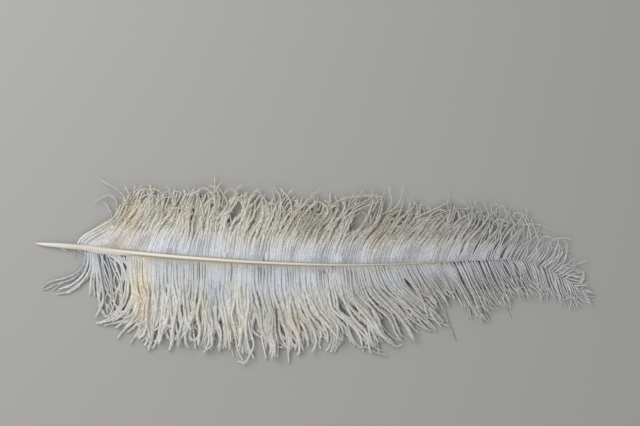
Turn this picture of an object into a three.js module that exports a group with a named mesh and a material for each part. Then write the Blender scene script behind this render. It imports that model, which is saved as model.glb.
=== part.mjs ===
// An ostrich wing plume lying on a flat surface, in millimetres.
// X runs from the quill tip to the feather tip, Y towards the narrower leading vane, Z up from the surface.
// The shaft carries two soft vanes. A handful of barbs at the base stand clear of them, each by itself.
import * as THREE from "three";

// Shaft: the quill tip is at x = 0, y = 0. Each row is x, y, height of the centreline and width there.
const shaftStations = [
  [0, 0, 1.0, 1.5],
  [9, -1, 1.9, 3.5],
  [25, -2.2, 2.8, 4.8],
  [45, -4, 3.6, 5.7],
  [65, -6.2, 4.5, 6.2],
  [85, -8.1, 5.2, 5.6],
  [125, -11.8, 6.2, 4.8],
  [165, -15.1, 6.7, 4.6],
  [225, -18.9, 6.9, 3.8],
  [285, -21.2, 6.7, 3.1],
  [325, -21.4, 6.3, 2.8],
  [385, -19.9, 5.3, 2.2],
  [425, -17.5, 4.5, 1.8],
  [465, -15.4, 3.6, 1.5],
  [482, -16, 3.2, 1.3],
  [510, -24.5, 2.4, 1.0],
  [535, -38.6, 1.7, 0.8],
  [559, -53, 1.0, 0.5],
];
const shaftSides = 12;
const shaftSteps = 60;
const shaftFlatness = 0.92; // height of the section over its width
const grooveDepth = 0.3; // the groove under the rachis, as a part of its half height
const quillLength = 45; // the bare round part, without a groove
const quillDimple = 0.6; // the small hollow where the quill grew from the skin

// Vanes: each row is one barb, with the x of its root, its lean there, the x and y of its tip and its
// lean there. A lean is the angle between the barb and the X axis, away from the shaft.
const leadingBarbs = [
  [45, 30, 83, 50, 78],
  [57, 42, 92, 53, 72],
  [73, 46, 105, 54, 68],
  [95, 50, 127, 54, 72],
  [125, 60, 153, 54, 72],
  [165, 70, 189, 55, 72],
  [205, 75, 227, 51, 64],
  [245, 74, 273, 48, 52],
  [285, 73, 317, 44, 48],
  [325, 74, 359, 43, 46],
  [365, 72, 401, 36, 42],
  [405, 68, 441, 30, 40],
  [435, 64, 471, 29, 46],
  [460, 56, 495, 24, 44],
  [480, 52, 513, 14, 30],
  [495, 44, 527, 3, 10],
  [510, 24, 541, -19, -20],
  [525, 10, 549, -32, -25],
  [540, 0, 555, -44, -20],
  [551, -10, 559, -50, -20],
];
const trailingBarbs = [
  [61, 80, 66, -75, 98],
  [72, 76, 75, -83, 110],
  [84, 82, 83, -92, 110],
  [100, 88, 96, -97, 106],
  [120, 90, 115, -101, 98],
  [145, 90, 143, -104, 92],
  [175, 90, 177, -108, 80],
  [205, 90, 211, -114, 76],
  [235, 89, 249, -113, 68],
  [265, 88, 287, -110, 60],
  [290, 87, 320, -109, 50],
  [315, 84, 353, -105, 40],
  [337, 78, 385, -92, 36],
  [360, 68, 410, -79, 34],
  [377, 60, 415, -61, 40],
  [393, 60, 420, -57, 50],
  [410, 62, 442, -73, 56],
  [435, 62, 465, -66, 52],
  [465, 60, 491, -55, 50],
  [490, 64, 508, -52, 58],
  [513, 60, 531, -57, 56],
  [533, 48, 553, -60, 44],
  [549, 36, 560, -57, 34],
];
const lockCount = 42; // locks of barbs along a vane, each with a ridge and a parting beside it
const barbSteps = 8; // steps from the shaft to the tips
const partingReach = 0.9; // how far out a parting begins, as a part of the barbs' length
const raggedness = 0.07; // how much shorter some locks are than their neighbours
const raggedTurn = 2.4; // radians from one station to the next, so that short and long locks never line up
const ridgeHeight = 0.5; // half the height of a lock above its partings
const loftHeight = 2.6; // how much a vane swells between the shaft and its tips
const tipThickness = 2.4;
const flatFrom = 0.5; // the outer part of a vane lies on the surface, from here to its tips
const shaftGap = 0.3; // between the shaft's flank and a vane

// Barbs that stand clear of the vanes. Each point is x, y, z on the centreline.
const looseBarbs = {
  curled_barb_tall: {
    points: [[84, 52.6, 3.4], [87.6, 56, 4.2], [84.6, 59.6, 4.6], [75, 64, 4.2], [64.8, 69.4, 3.2]],
    rootRadius: 1.0,
    tipRadius: 0.6,
  },
  curled_barb_hooked: {
    points: [[75.6, 34.6, 3.4], [77.6, 43.8, 4.6], [73.4, 50.6, 5], [66.4, 50.2, 4], [58.6, 44.4, 2.6]],
    rootRadius: 1.0,
    tipRadius: 0.6,
  },
  curled_barb_short: {
    points: [[72, 28.6, 3.2], [71.2, 34.4, 3.2], [68.4, 39.8, 2.6]],
    rootRadius: 0.9,
    tipRadius: 0.7,
  },
  swept_barb_upper: {
    points: [[49.6, -8.6, 4], [48.6, -20, 3.4], [42.6, -28.4, 3.4], [28, -35.2, 2.8], [16, -38.2, 2], [6.6, -44, 1.2]],
    rootRadius: 1.2,
    tipRadius: 0.7,
  },
  swept_barb_middle: {
    points: [[52.4, -8.9, 3.8], [51.4, -22, 2], [43, -32, 1.6], [31, -38.4, 1.4], [20, -42.4, 1.2], [9.4, -46.2, 1]],
    rootRadius: 1.2,
    tipRadius: 0.7,
  },
  swept_barb_inner: {
    points: [[48.6, -31.4, 1.6], [42, -37.2, 1.4], [32, -40.8, 1.2], [25.4, -43.4, 1], [19, -47, 1]],
    rootRadius: 0.9,
    tipRadius: 0.7,
  },
  swept_barb_lower: {
    points: [[55.2, -9.2, 3.8], [55.4, -26, 2.6], [51, -36, 2], [40, -44.4, 1.6], [30.4, -49.2, 1.4], [21.6, -51.2, 1]],
    rootRadius: 1.2,
    tipRadius: 0.8,
  },
  straight_barb: {
    points: [[58, -9.6, 3.6], [57.6, -20, 2.8], [57.6, -36, 2], [58.6, -50.6, 1.2]],
    rootRadius: 1.1,
    tipRadius: 0.8,
  },
  broken_barb_stub: {
    points: [[39.3, -6.6, 3.2], [39.4, -10.6, 2], [39.3, -15.6, 0.8]],
    rootRadius: 0.5,
    tipRadius: 0.4,
  },
  bent_barb_outer: {
    points: [[413, -74.6, 1.8], [415.4, -83, 1.6], [420.8, -97.4, 1]],
    rootRadius: 0.7,
    tipRadius: 0.5,
  },
};
const looseBarbSides = 6;
const looseBarbSteps = 12;

// The dry scrap of sheath that peels from under the quill.
const flake = { from: [22, -5.2, 1.0], to: [32.4, -8.3, 0.7], width: 2.2, thickness: 0.5 };

const degrees = Math.PI / 180;
const up = new THREE.Vector3(0, 0, 1);

// Reads a table whose rows begin with a rising x, and returns its other columns at one x.
function rowAt(table, x) {
  let next = 1;
  while (next < table.length - 1 && table[next][0] < x) {
    next++;
  }
  const [before, after] = [table[next - 1], table[next]];
  const part = THREE.MathUtils.clamp((x - before[0]) / (after[0] - before[0]), 0, 1);
  return before.slice(1).map((value, column) => THREE.MathUtils.lerp(value, after[column + 1], part));
}

function featherMaterial(colour, roughness) {
  return new THREE.MeshStandardMaterial({ color: colour, roughness, metalness: 0 });
}

function namedMesh(name, geometry, material) {
  const mesh = new THREE.Mesh(geometry, material);
  mesh.name = name;
  return mesh;
}

// Moves every corner of a geometry to where place() puts it.
function reshape(geometry, place) {
  const positions = geometry.attributes.position;
  const corner = new THREE.Vector3();
  for (let i = 0; i < positions.count; i++) {
    corner.fromBufferAttribute(positions, i);
    const moved = place(corner);
    positions.setXYZ(i, moved.x, moved.y, moved.z);
  }
  geometry.computeVertexNormals();
  return geometry;
}

// Carries a point of a unit cylinder that stands along Y to its place beside a curve.
function besideCurve(curve, along, across, high) {
  const tangent = curve.getTangent(along);
  const side = new THREE.Vector3().crossVectors(tangent, up).normalize();
  const lift = new THREE.Vector3().crossVectors(side, tangent);
  return curve.getPoint(along).addScaledVector(side, across).addScaledVector(lift, high);
}

const shaftCurve = new THREE.CatmullRomCurve3(
  shaftStations.map(([x, y, z]) => new THREE.Vector3(x, y, z)),
);

// Finds where the shaft's centreline crosses one x, and the direction square to it in plan.
function shaftAt(x) {
  let [before, after] = [0, 1];
  for (let halving = 0; halving < 20; halving++) {
    const half = (before + after) / 2;
    [before, after] = shaftCurve.getPoint(half).x < x ? [half, after] : [before, half];
  }
  const tangent = shaftCurve.getTangent(before);
  return {
    centre: shaftCurve.getPoint(before),
    square: new THREE.Vector2(-tangent.y, tangent.x).normalize(),
    width: rowAt(shaftStations, x)[2],
  };
}

// The quill is round and bare. The rachis past it has a groove along its underside.
function shaftGeometry() {
  const unitBar = new THREE.CylinderGeometry(1, 1, 1, shaftSides, shaftSteps);
  return reshape(unitBar, (corner) => {
    const along = corner.y + 0.5;
    const x = shaftCurve.getPoint(along).x;
    const [, , width] = rowAt(shaftStations, x);
    const grooved = THREE.MathUtils.smoothstep(x, quillLength, quillLength * 2);
    const underside = corner.z < -0.99 ? 1 - grooveDepth * grooved : 1;
    const high = (corner.z * width * shaftFlatness * underside) / 2;
    const placed = besideCurve(shaftCurve, along, (corner.x * width) / 2, high);
    const isTipCentre = along === 0 && corner.x === 0 && corner.z === 0;
    placed.x += isTipCentre ? quillDimple : 0;
    return placed;
  });
}

// A barb bends from its lean at the shaft to its lean at the tip. side is 1 on the leading vane, -1 on
// the trailing vane.
function barbCurve(barbs, side, rootX) {
  const [rootLean, tipX, tipY, tipLean] = rowAt(barbs, rootX);
  const { centre, square, width } = shaftAt(rootX);
  const root = new THREE.Vector2(centre.x, centre.y).addScaledVector(square, side * (width / 2 + shaftGap));
  const tip = new THREE.Vector2(tipX, tipY);
  const pull = root.distanceTo(tip) / 3;
  const leaning = (lean) => new THREE.Vector2(Math.cos(lean * degrees), side * Math.sin(lean * degrees));
  return new THREE.CubicBezierCurve(
    root,
    root.clone().addScaledVector(leaning(rootLean), pull),
    tip.clone().addScaledVector(leaning(tipLean), -pull),
    tip,
  );
}

// A vane is one soft body: ridged locks of barbs on top, hollow under the shaft, and flat where it lies.
function vaneGeometry(barbs, side) {
  const firstRoot = barbs[0][0];
  const lastRoot = barbs[barbs.length - 1][0];
  const unitBox = new THREE.BoxGeometry(1, 1, 1, lockCount * 2, barbSteps, 1);
  return reshape(unitBox, (corner) => {
    const station = Math.round((corner.x + 0.5) * lockCount * 2);
    const outwards = 0.5 + side * corner.y;
    const rootX = THREE.MathUtils.lerp(firstRoot, lastRoot, station / (lockCount * 2));
    const isParting = station % 2 === 1;
    const shortfall = (raggedness * (1 + Math.sin(station * raggedTurn))) / 2;
    const reach = (isParting ? partingReach : 1) - shortfall;
    const point = barbCurve(barbs, side, rootX).getPoint(outwards * reach);
    const shaftHeight = shaftAt(rootX).centre.z;
    const droop = 1 - outwards;
    const swell = Math.sin(Math.PI * outwards) * loftHeight;
    const ridge = (isParting ? -ridgeHeight : ridgeHeight) * Math.sin(Math.PI * outwards);
    const top = tipThickness * outwards + shaftHeight * droop + swell * shaftHeight * 0.15 + ridge;
    const bottom = Math.max(0, shaftHeight * 0.55 * (1 - outwards / flatFrom));
    return new THREE.Vector3(point.x, point.y, corner.z > 0 ? top : bottom);
  });
}

function looseBarbGeometry({ points, rootRadius, tipRadius }) {
  const curve = new THREE.CatmullRomCurve3(points.map((point) => new THREE.Vector3(...point)));
  const unitBar = new THREE.CylinderGeometry(1, 1, 1, looseBarbSides, looseBarbSteps);
  return reshape(unitBar, (corner) => {
    const along = corner.y + 0.5;
    const radius = THREE.MathUtils.lerp(rootRadius, tipRadius, along);
    return besideCurve(curve, along, corner.x * radius, corner.z * radius);
  });
}

function flakeGeometry() {
  const path = new THREE.LineCurve3(new THREE.Vector3(...flake.from), new THREE.Vector3(...flake.to));
  const unitBox = new THREE.BoxGeometry(1, 1, 1, 2, 4, 1);
  return reshape(unitBox, (corner) => {
    const along = corner.y + 0.5;
    const narrowing = 1 - 0.6 * along;
    return besideCurve(path, along, corner.x * flake.width * narrowing, corner.z * flake.thickness);
  });
}

const keratin = featherMaterial(0xded9cc, 0.45);
const leadingDown = featherMaterial(0xc3c3c2, 0.9);
const trailingDown = featherMaterial(0xbfbdb7, 0.9);
const looseDown = featherMaterial(0xc4c6cc, 0.85);
const drySheath = featherMaterial(0xd8d4cc, 0.7);

const plume = new THREE.Group();
plume.add(namedMesh("shaft", shaftGeometry(), keratin));
plume.add(namedMesh("vane_leading", vaneGeometry(leadingBarbs, 1), leadingDown));
plume.add(namedMesh("vane_trailing", vaneGeometry(trailingBarbs, -1), trailingDown));
for (const [name, barb] of Object.entries(looseBarbs)) {
  plume.add(namedMesh(name, looseBarbGeometry(barb), looseDown));
}
plume.add(namedMesh("sheath_flake", flakeGeometry(), drySheath));

// The origin is under the middle of the plume, on the surface that it lies on.
const box = new THREE.Box3().setFromObject(plume, true);
const middle = box.getCenter(new THREE.Vector3());
for (const mesh of plume.children) {
  mesh.geometry.translate(-middle.x, -middle.y, -box.min.z);
}

export default plume;
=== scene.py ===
import bpy
import numpy as np
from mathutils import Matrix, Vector


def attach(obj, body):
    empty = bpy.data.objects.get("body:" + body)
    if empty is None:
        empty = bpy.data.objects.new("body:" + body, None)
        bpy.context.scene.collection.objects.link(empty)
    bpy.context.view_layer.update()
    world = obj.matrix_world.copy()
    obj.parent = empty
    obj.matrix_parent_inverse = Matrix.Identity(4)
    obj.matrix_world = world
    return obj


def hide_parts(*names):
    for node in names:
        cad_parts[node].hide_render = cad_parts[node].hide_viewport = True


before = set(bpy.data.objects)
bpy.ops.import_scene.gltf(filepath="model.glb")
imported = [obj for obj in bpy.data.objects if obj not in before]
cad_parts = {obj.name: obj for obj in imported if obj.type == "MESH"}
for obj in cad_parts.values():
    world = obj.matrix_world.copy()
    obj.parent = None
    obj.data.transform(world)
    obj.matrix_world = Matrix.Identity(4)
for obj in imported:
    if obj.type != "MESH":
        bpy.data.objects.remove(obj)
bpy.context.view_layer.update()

# An ostrich wing plume lying on a table. In plume space the quill tip is the start, x runs to the
# feather tip, y to the leading vane and z up, in millimetres. Meshes are written in metres.
quillTip = np.array([-279.73, 21.65, 0.0])      # where plume space starts in the row's frame
mm = 0.001

# x, y, height of the centreline and width of the shaft
shaftStations = np.array([
    [0, 0, 1.0, 1.5], [9, -1, 1.9, 3.5], [25, -2.2, 2.8, 4.8], [45, -4, 3.6, 5.7],
    [65, -6.2, 4.5, 6.2], [85, -8.1, 5.2, 5.6], [125, -11.8, 6.2, 4.8], [165, -15.1, 6.7, 4.6],
    [225, -18.9, 6.9, 3.8], [285, -21.2, 6.7, 3.1], [325, -21.4, 6.3, 2.8], [385, -19.9, 5.3, 2.2],
    [425, -17.5, 4.5, 1.8], [465, -15.4, 3.6, 1.5], [482, -16, 3.2, 1.3], [510, -24.5, 2.4, 1.0],
    [535, -38.6, 1.7, 0.8], [559, -53, 1.0, 0.5]])


def smoothStep(low, high, value):
    # rises from 0 at low to 1 at high as 3t^2 - 2t^3
    t = np.clip((value - low) / (high - low), 0, 1)
    return t * t * (3 - 2 * t)


def unit(vectors):
    # each vector divided by its length
    return vectors / np.maximum(np.linalg.norm(vectors, axis=-1, keepdims=True), 1e-9)


def splineThrough(points, count):
    # a Catmull-Rom curve: each span blends its four nearest points by cubic weights
    points = np.asarray(points, float)
    padded = np.vstack([2 * points[0] - points[1], points, 2 * points[-1] - points[-2]])
    place = np.linspace(0, len(points) - 1, count)
    span = np.minimum(place.astype(int), len(points) - 2)
    t = (place - span)[:, None]
    a, b, c, d = (padded[span + k] for k in range(4))
    return 0.5 * (2 * b + (c - a) * t + (2 * a - 5 * b + 4 * c - d) * t**2
                  + (3 * b - a - 3 * c + d) * t**3)


shaftLine = splineThrough(shaftStations, 1200)      # x, y, z and width, close together


def shaftAt(x):
    # centre, direction square to the shaft in plan, and width, read off the spline at each x
    centre = np.stack([np.interp(x, shaftLine[:, 0], shaftLine[:, k]) for k in range(3)], -1)
    width = np.interp(x, shaftLine[:, 0], shaftLine[:, 3])
    slope = np.interp(x, shaftLine[:, 0], np.gradient(shaftLine[:, 1], shaftLine[:, 0]))
    return centre, unit(np.stack([-slope, np.ones_like(slope)], -1)), width


# ---- meshes

def tubeFaces(rings, sides):
    # quads from each ring to the next, and a fan to a pole at either end. The points are the rings one
    # after another, and then the two poles
    side = np.arange(sides)
    after = (side + 1) % sides
    first = np.arange(rings - 1)[:, None] * sides
    quads = np.stack([first + side, first + after, first + sides + after, first + sides + side], -1)
    pole, last = rings * sides, (rings - 1) * sides
    rootFan = np.stack([np.full(sides, pole), after, side], -1)
    tipFan = np.stack([np.full(sides, pole + 1), last + side, last + after], -1)
    return quads.reshape(-1, 4), np.concatenate([rootFan, tipFan])


def newPiece(name, points, faces, attributes, bakeMap, material, replaced):
    # points in plume millimetres become a mesh in the row's frame. faces holds pairs of a face array and
    # whether it is smooth, attributes one number a point, and bakeMap a place on the piece's own map
    mesh = bpy.data.meshes.new(name)
    mesh.vertices.add(len(points))
    mesh.vertices.foreach_set("co", ((points + quillTip) * mm).astype(np.float32).ravel())
    corners = np.concatenate([f.ravel() for f, _ in faces]).astype(np.int32)
    sizes = np.concatenate([np.full(len(f), f.shape[1]) for f, _ in faces])
    starts = np.concatenate([[0], np.cumsum(sizes)[:-1]]).astype(np.int32)
    mesh.loops.add(len(corners))
    mesh.loops.foreach_set("vertex_index", corners)
    mesh.polygons.add(len(sizes))
    mesh.polygons.foreach_set("loop_start", starts)
    mesh.polygons.foreach_set("use_smooth", np.concatenate([np.full(len(f), s) for f, s in faces]))
    mesh.update(calc_edges=True)
    for key, values in attributes.items():
        layer = mesh.attributes.new(key, "FLOAT", "POINT")
        layer.data.foreach_set("value", values.astype(np.float32))
    if bakeMap is not None:
        flatMap = mesh.uv_layers.new(name="OFBake")
        flatMap.uv.foreach_set("vector", bakeMap[corners].astype(np.float32).ravel())
    mesh.materials.append(material)
    piece = bpy.data.objects.new(name, mesh)
    bpy.context.scene.collection.objects.link(piece)
    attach(piece, "root")
    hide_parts(*replaced)
    print(name, "triangles", sum(len(f) * (f.shape[1] - 2) for f, _ in faces))


# ---- strands: a matted barb is a flattened core with its barbules lying along it

strandLook = dict(
    coreSides=5,
    coreRings=14,
    poles=(0.3, 0.5),       # mm, how far a core's closed ends stand past its path
    barbuleWidth=0.3,       # mm at its middle, coarser than a real one so that it shows
    hug=0.85,               # a barbule's start, as a part of the way from the strand's middle to its skin
    lengths=(0.55, 1.35),   # least and most of a barbule's length over the usual one
    widths=(0.6, 1.3),      # and of its width
    lying=(1, 8),           # degrees, how its outer half lies off the strand, and how much that varies
    fibreTones=0.35,        # how much the tone varies from one barbule to the next
    tableGap=0.12,          # mm, no fibre goes lower
)


def strandFrames(paths):
    # forward, sideways in the plane of the vane, and up, at every point of every path
    forward = unit(np.gradient(paths, axis=1))
    sideways = unit(np.stack([-forward[..., 1], forward[..., 0], np.zeros(paths.shape[:2])], -1))
    return forward, sideways, np.cross(forward, sideways)


def strandLengths(paths):
    # the sum of each path's strides
    return np.linalg.norm(np.diff(paths, axis=1), axis=2).sum(1)


def coreMesh(paths, width, tone, warmth):
    # an ellipse carried along each path, closed by a point at either end
    look = strandLook
    count, steps = paths.shape[:2]
    rings, sides = look["coreRings"], look["coreSides"]
    along = 1 - (1 - np.linspace(0, 1, rings))**1.2
    pick = np.round(along * (steps - 1)).astype(int)
    forward, sideways, upward = (v[:, pick] for v in strandFrames(paths))
    angle = np.arange(sides) * 2 * np.pi / sides
    half = width[:, pick, :, None] / 2
    ring = (paths[:, pick, None, :]
            + sideways[:, :, None, :] * np.cos(angle)[None, None, :, None] * half[:, :, 0:1]
            + upward[:, :, None, :] * np.sin(angle)[None, None, :, None] * half[:, :, 1:2])
    ends = np.stack([paths[:, 0] - forward[:, 0] * look["poles"][0],
                     paths[:, -1] + forward[:, -1] * look["poles"][1]], 1)
    points = np.concatenate([ring.reshape(count, -1, 3), ends], 1)
    perBarb = points.shape[1]
    quads, fans = tubeFaces(rings, sides)
    shift = (np.arange(count) * perBarb)[:, None, None]
    u = np.concatenate([np.repeat(pick / (steps - 1), sides), [0, 1]])
    across = np.concatenate([np.tile(0.5 + 0.4 * np.cos(angle), rings), [0.5, 0.5]])
    return dict(
        points=points.reshape(-1, 3),
        quads=(quads[None] + shift).reshape(-1, 4),
        fans=(fans[None] + shift).reshape(-1, 3),
        along=np.tile(u, count),
        tone=np.repeat(tone, perBarb),
        warmth=np.repeat(warmth, perBarb),
        barb=np.repeat(np.arange(count), perBarb),
        across=np.tile(across, count),
    )


def barbuleMesh(paths, width, tone, warmth, amount, rng, softFrom, nap):
    # each barbule is a closed sliver of four faces: it starts on the strand, leans out, and lies back.
    # nap holds its length in mm, its lean off the strand in degrees and how much the lean varies.
    # Nearer the shaft than softFrom, in mm, it lies closer
    look = strandLook
    count, steps = paths.shape[:2]
    lengths = strandLengths(paths)
    barb = rng.choice(count, amount, p=lengths / lengths.sum())
    u = rng.uniform(0.01, 1.0, amount)
    at = u * (steps - 1)
    low = np.minimum(at.astype(int), steps - 2)
    part = (at - low)[:, None]

    def here(values):
        # each barbule's value, between those of the two nearest points of its barb
        return values[barb, low] * (1 - part) + values[barb, low + 1] * part

    forward, sideways, upward = strandFrames(paths)
    centre, ahead, beside, above = here(paths), unit(here(forward)), unit(here(sideways)), unit(here(upward))
    half = here(width) / 2
    angle = rng.uniform(-0.3, 1.3, amount) * np.pi
    free = 0.35 + 0.65 * smoothStep(softFrom * 0.5, softFrom * 1.4 + 2, u * lengths[barb])
    outward = unit(beside * np.cos(angle)[:, None] + above * (0.55 * np.sin(angle))[:, None])
    start = (centre + beside * (np.cos(angle) * half[:, 0] * look["hug"])[:, None]
             + above * (np.sin(angle) * half[:, 1] * look["hug"])[:, None])
    # shorter and closer on a thin strand and towards its end
    size = np.clip(half[:, 0] / 1.1, 0.35, 1) * (1 - 0.5 * smoothStep(0.85, 1.0, u))
    length = nap[0] * rng.uniform(*look["lengths"], amount) * free * np.sqrt(size)
    lean = np.radians(rng.normal(nap[1], nap[2], amount)) * free * size
    lying = np.radians(rng.normal(*look["lying"], amount)) * free
    bend, end = (np.cos(a)[:, None] * ahead + np.sin(a)[:, None] * outward for a in (lean, lying))
    bend = start + bend * (length / 2)[:, None]
    end = bend + end * (length / 2)[:, None]
    wide = look["barbuleWidth"] * (0.4 + 0.6 * size) * rng.uniform(*look["widths"], amount) / 2
    flat = unit(np.cross(ahead, outward)) * wide[:, None]
    points = np.stack([start, end, bend + flat, bend - flat], 1)
    points[..., 2] = np.maximum(points[..., 2], look["tableGap"])
    # where the table has turned a sliver inside out, two of its corners change places
    edges = points[:, 1:] - points[:, :1]
    turned = np.einsum("ij,ij->i", edges[:, 0], np.cross(edges[:, 1], edges[:, 2])) < 0
    points[turned, 2], points[turned, 3] = points[turned, 3].copy(), points[turned, 2].copy()
    corners = np.array([[0, 2, 1], [0, 1, 3], [0, 3, 2], [1, 2, 3]])
    endU = np.minimum(u + length / lengths[barb], 1)
    fibreTone = tone[barb] + rng.normal(0, look["fibreTones"], amount)
    across = rng.uniform(0.3, 0.7, amount)
    return dict(
        points=points.reshape(-1, 3),
        fans=(corners[None] + (np.arange(amount) * 4)[:, None, None]).reshape(-1, 3),
        along=np.stack([u, endU, (u + endU) / 2, (u + endU) / 2], 1).ravel(),
        tone=np.repeat(fibreTone, 4),
        warmth=np.repeat(warmth[barb], 4),
        barb=np.repeat(barb, 4),
        across=np.stack([across, across, across + 0.25, across - 0.25], 1).ravel(),
    )


def strandPiece(name, paths, width, tone, warmth, amount, rng, material, replaced,
                nap, softFrom=0.0, starts=0.0):
    # the cores and the barbules of some barbs, joined in one mesh. Its map has a column for each barb.
    # starts is how far out from the shaft, in mm, each barb's colours begin
    core = coreMesh(paths, width, tone, warmth)
    fuzz = barbuleMesh(paths, width, tone, warmth, amount, rng, softFrom, nap)
    points, barbOf, along, across, tones, warmths = (
        np.concatenate([core[key], fuzz[key]])
        for key in ("points", "barb", "along", "across", "tone", "warmth"))
    points[:, 2] = np.maximum(points[:, 2], strandLook["tableGap"])
    reach = along * strandLengths(paths)[barbOf] + (starts + np.zeros(len(paths)))[barbOf]
    bakeMap = np.stack([(barbOf + across) / len(paths), 0.01 + 0.98 * along], -1)
    faces = [(core["quads"], True), (core["fans"], True), (fuzz["fans"] + len(core["points"]), False)]
    newPiece(name, points, faces, dict(along=along, tone=tones, warmth=warmths, reach=reach), bakeMap,
             material, replaced)


# ---- vanes

vaneLook = dict(
    samples=44,             # points along a barb's path
    rootWidth=1.0,          # mm, where a barb leaves the shaft
    flatness=0.62,          # height of a strand over its width
    wildShare=0.14,         # of the barbs, whose tips turn any way
    wildTurn=70,            # degrees, how much those vary
    overShaft=(400, 455),   # x over which the roots come to lie on top of the shaft
    wideParting=(3, 6),     # mm, half widths from which barbs keep out of a parting
    calmReach=13,           # mm, either side of a wide parting where the barbs curl less
    cutReach=7,             # mm, either side of it where the under layers end early
    partingShape=0.8,       # lower opens a parting faster
    waves=((0.9, 1.0), (1.9, 0.9), (3.6, 0.35)),    # turns along a barb, and strength
    arch=2.6,               # mm, how high a vane arches between the shaft and its edge
    lumps=0.7,              # mm, of its soft lumps
    tipHeight=1.9,          # mm, at its edge
    underHeight=0.8,        # mm, of the flattest layer
    lowest=0.7,             # mm, of a strand's middle
    flatter=(0, 0.08, 0.2), # how far each layer goes from the arch to the flat
    layerDrop=0.2,          # mm, each layer under the one before
    rootReach=5,            # mm, over which a strand takes its full width
    tipsOver=(230, 310),    # x over which the width of the tips goes from its first to its second value
    webs=(0, 0.25, 1.0),    # how much of a web each layer is
    webWider=1.1, webFlatter=0.45,      # what a web adds to a strand's width and takes off its height
    liftedShare=0.3,        # of the barbs, whose tips stand up
    liftedTip=3.5,          # mm, how much those vary
    jumbleUnder=0.6,        # how far the under layers sink, as a part of the top layer's jumble
    widths=(0.78, 1.22),    # least and most of a strand's own width over the usual one
    # mm: a barb that starts farther than the first from the shaft is coloured by its distance plus the
    # second, past the painted shade beside the shaft
    startsAway=(3, 4),
)
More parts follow.
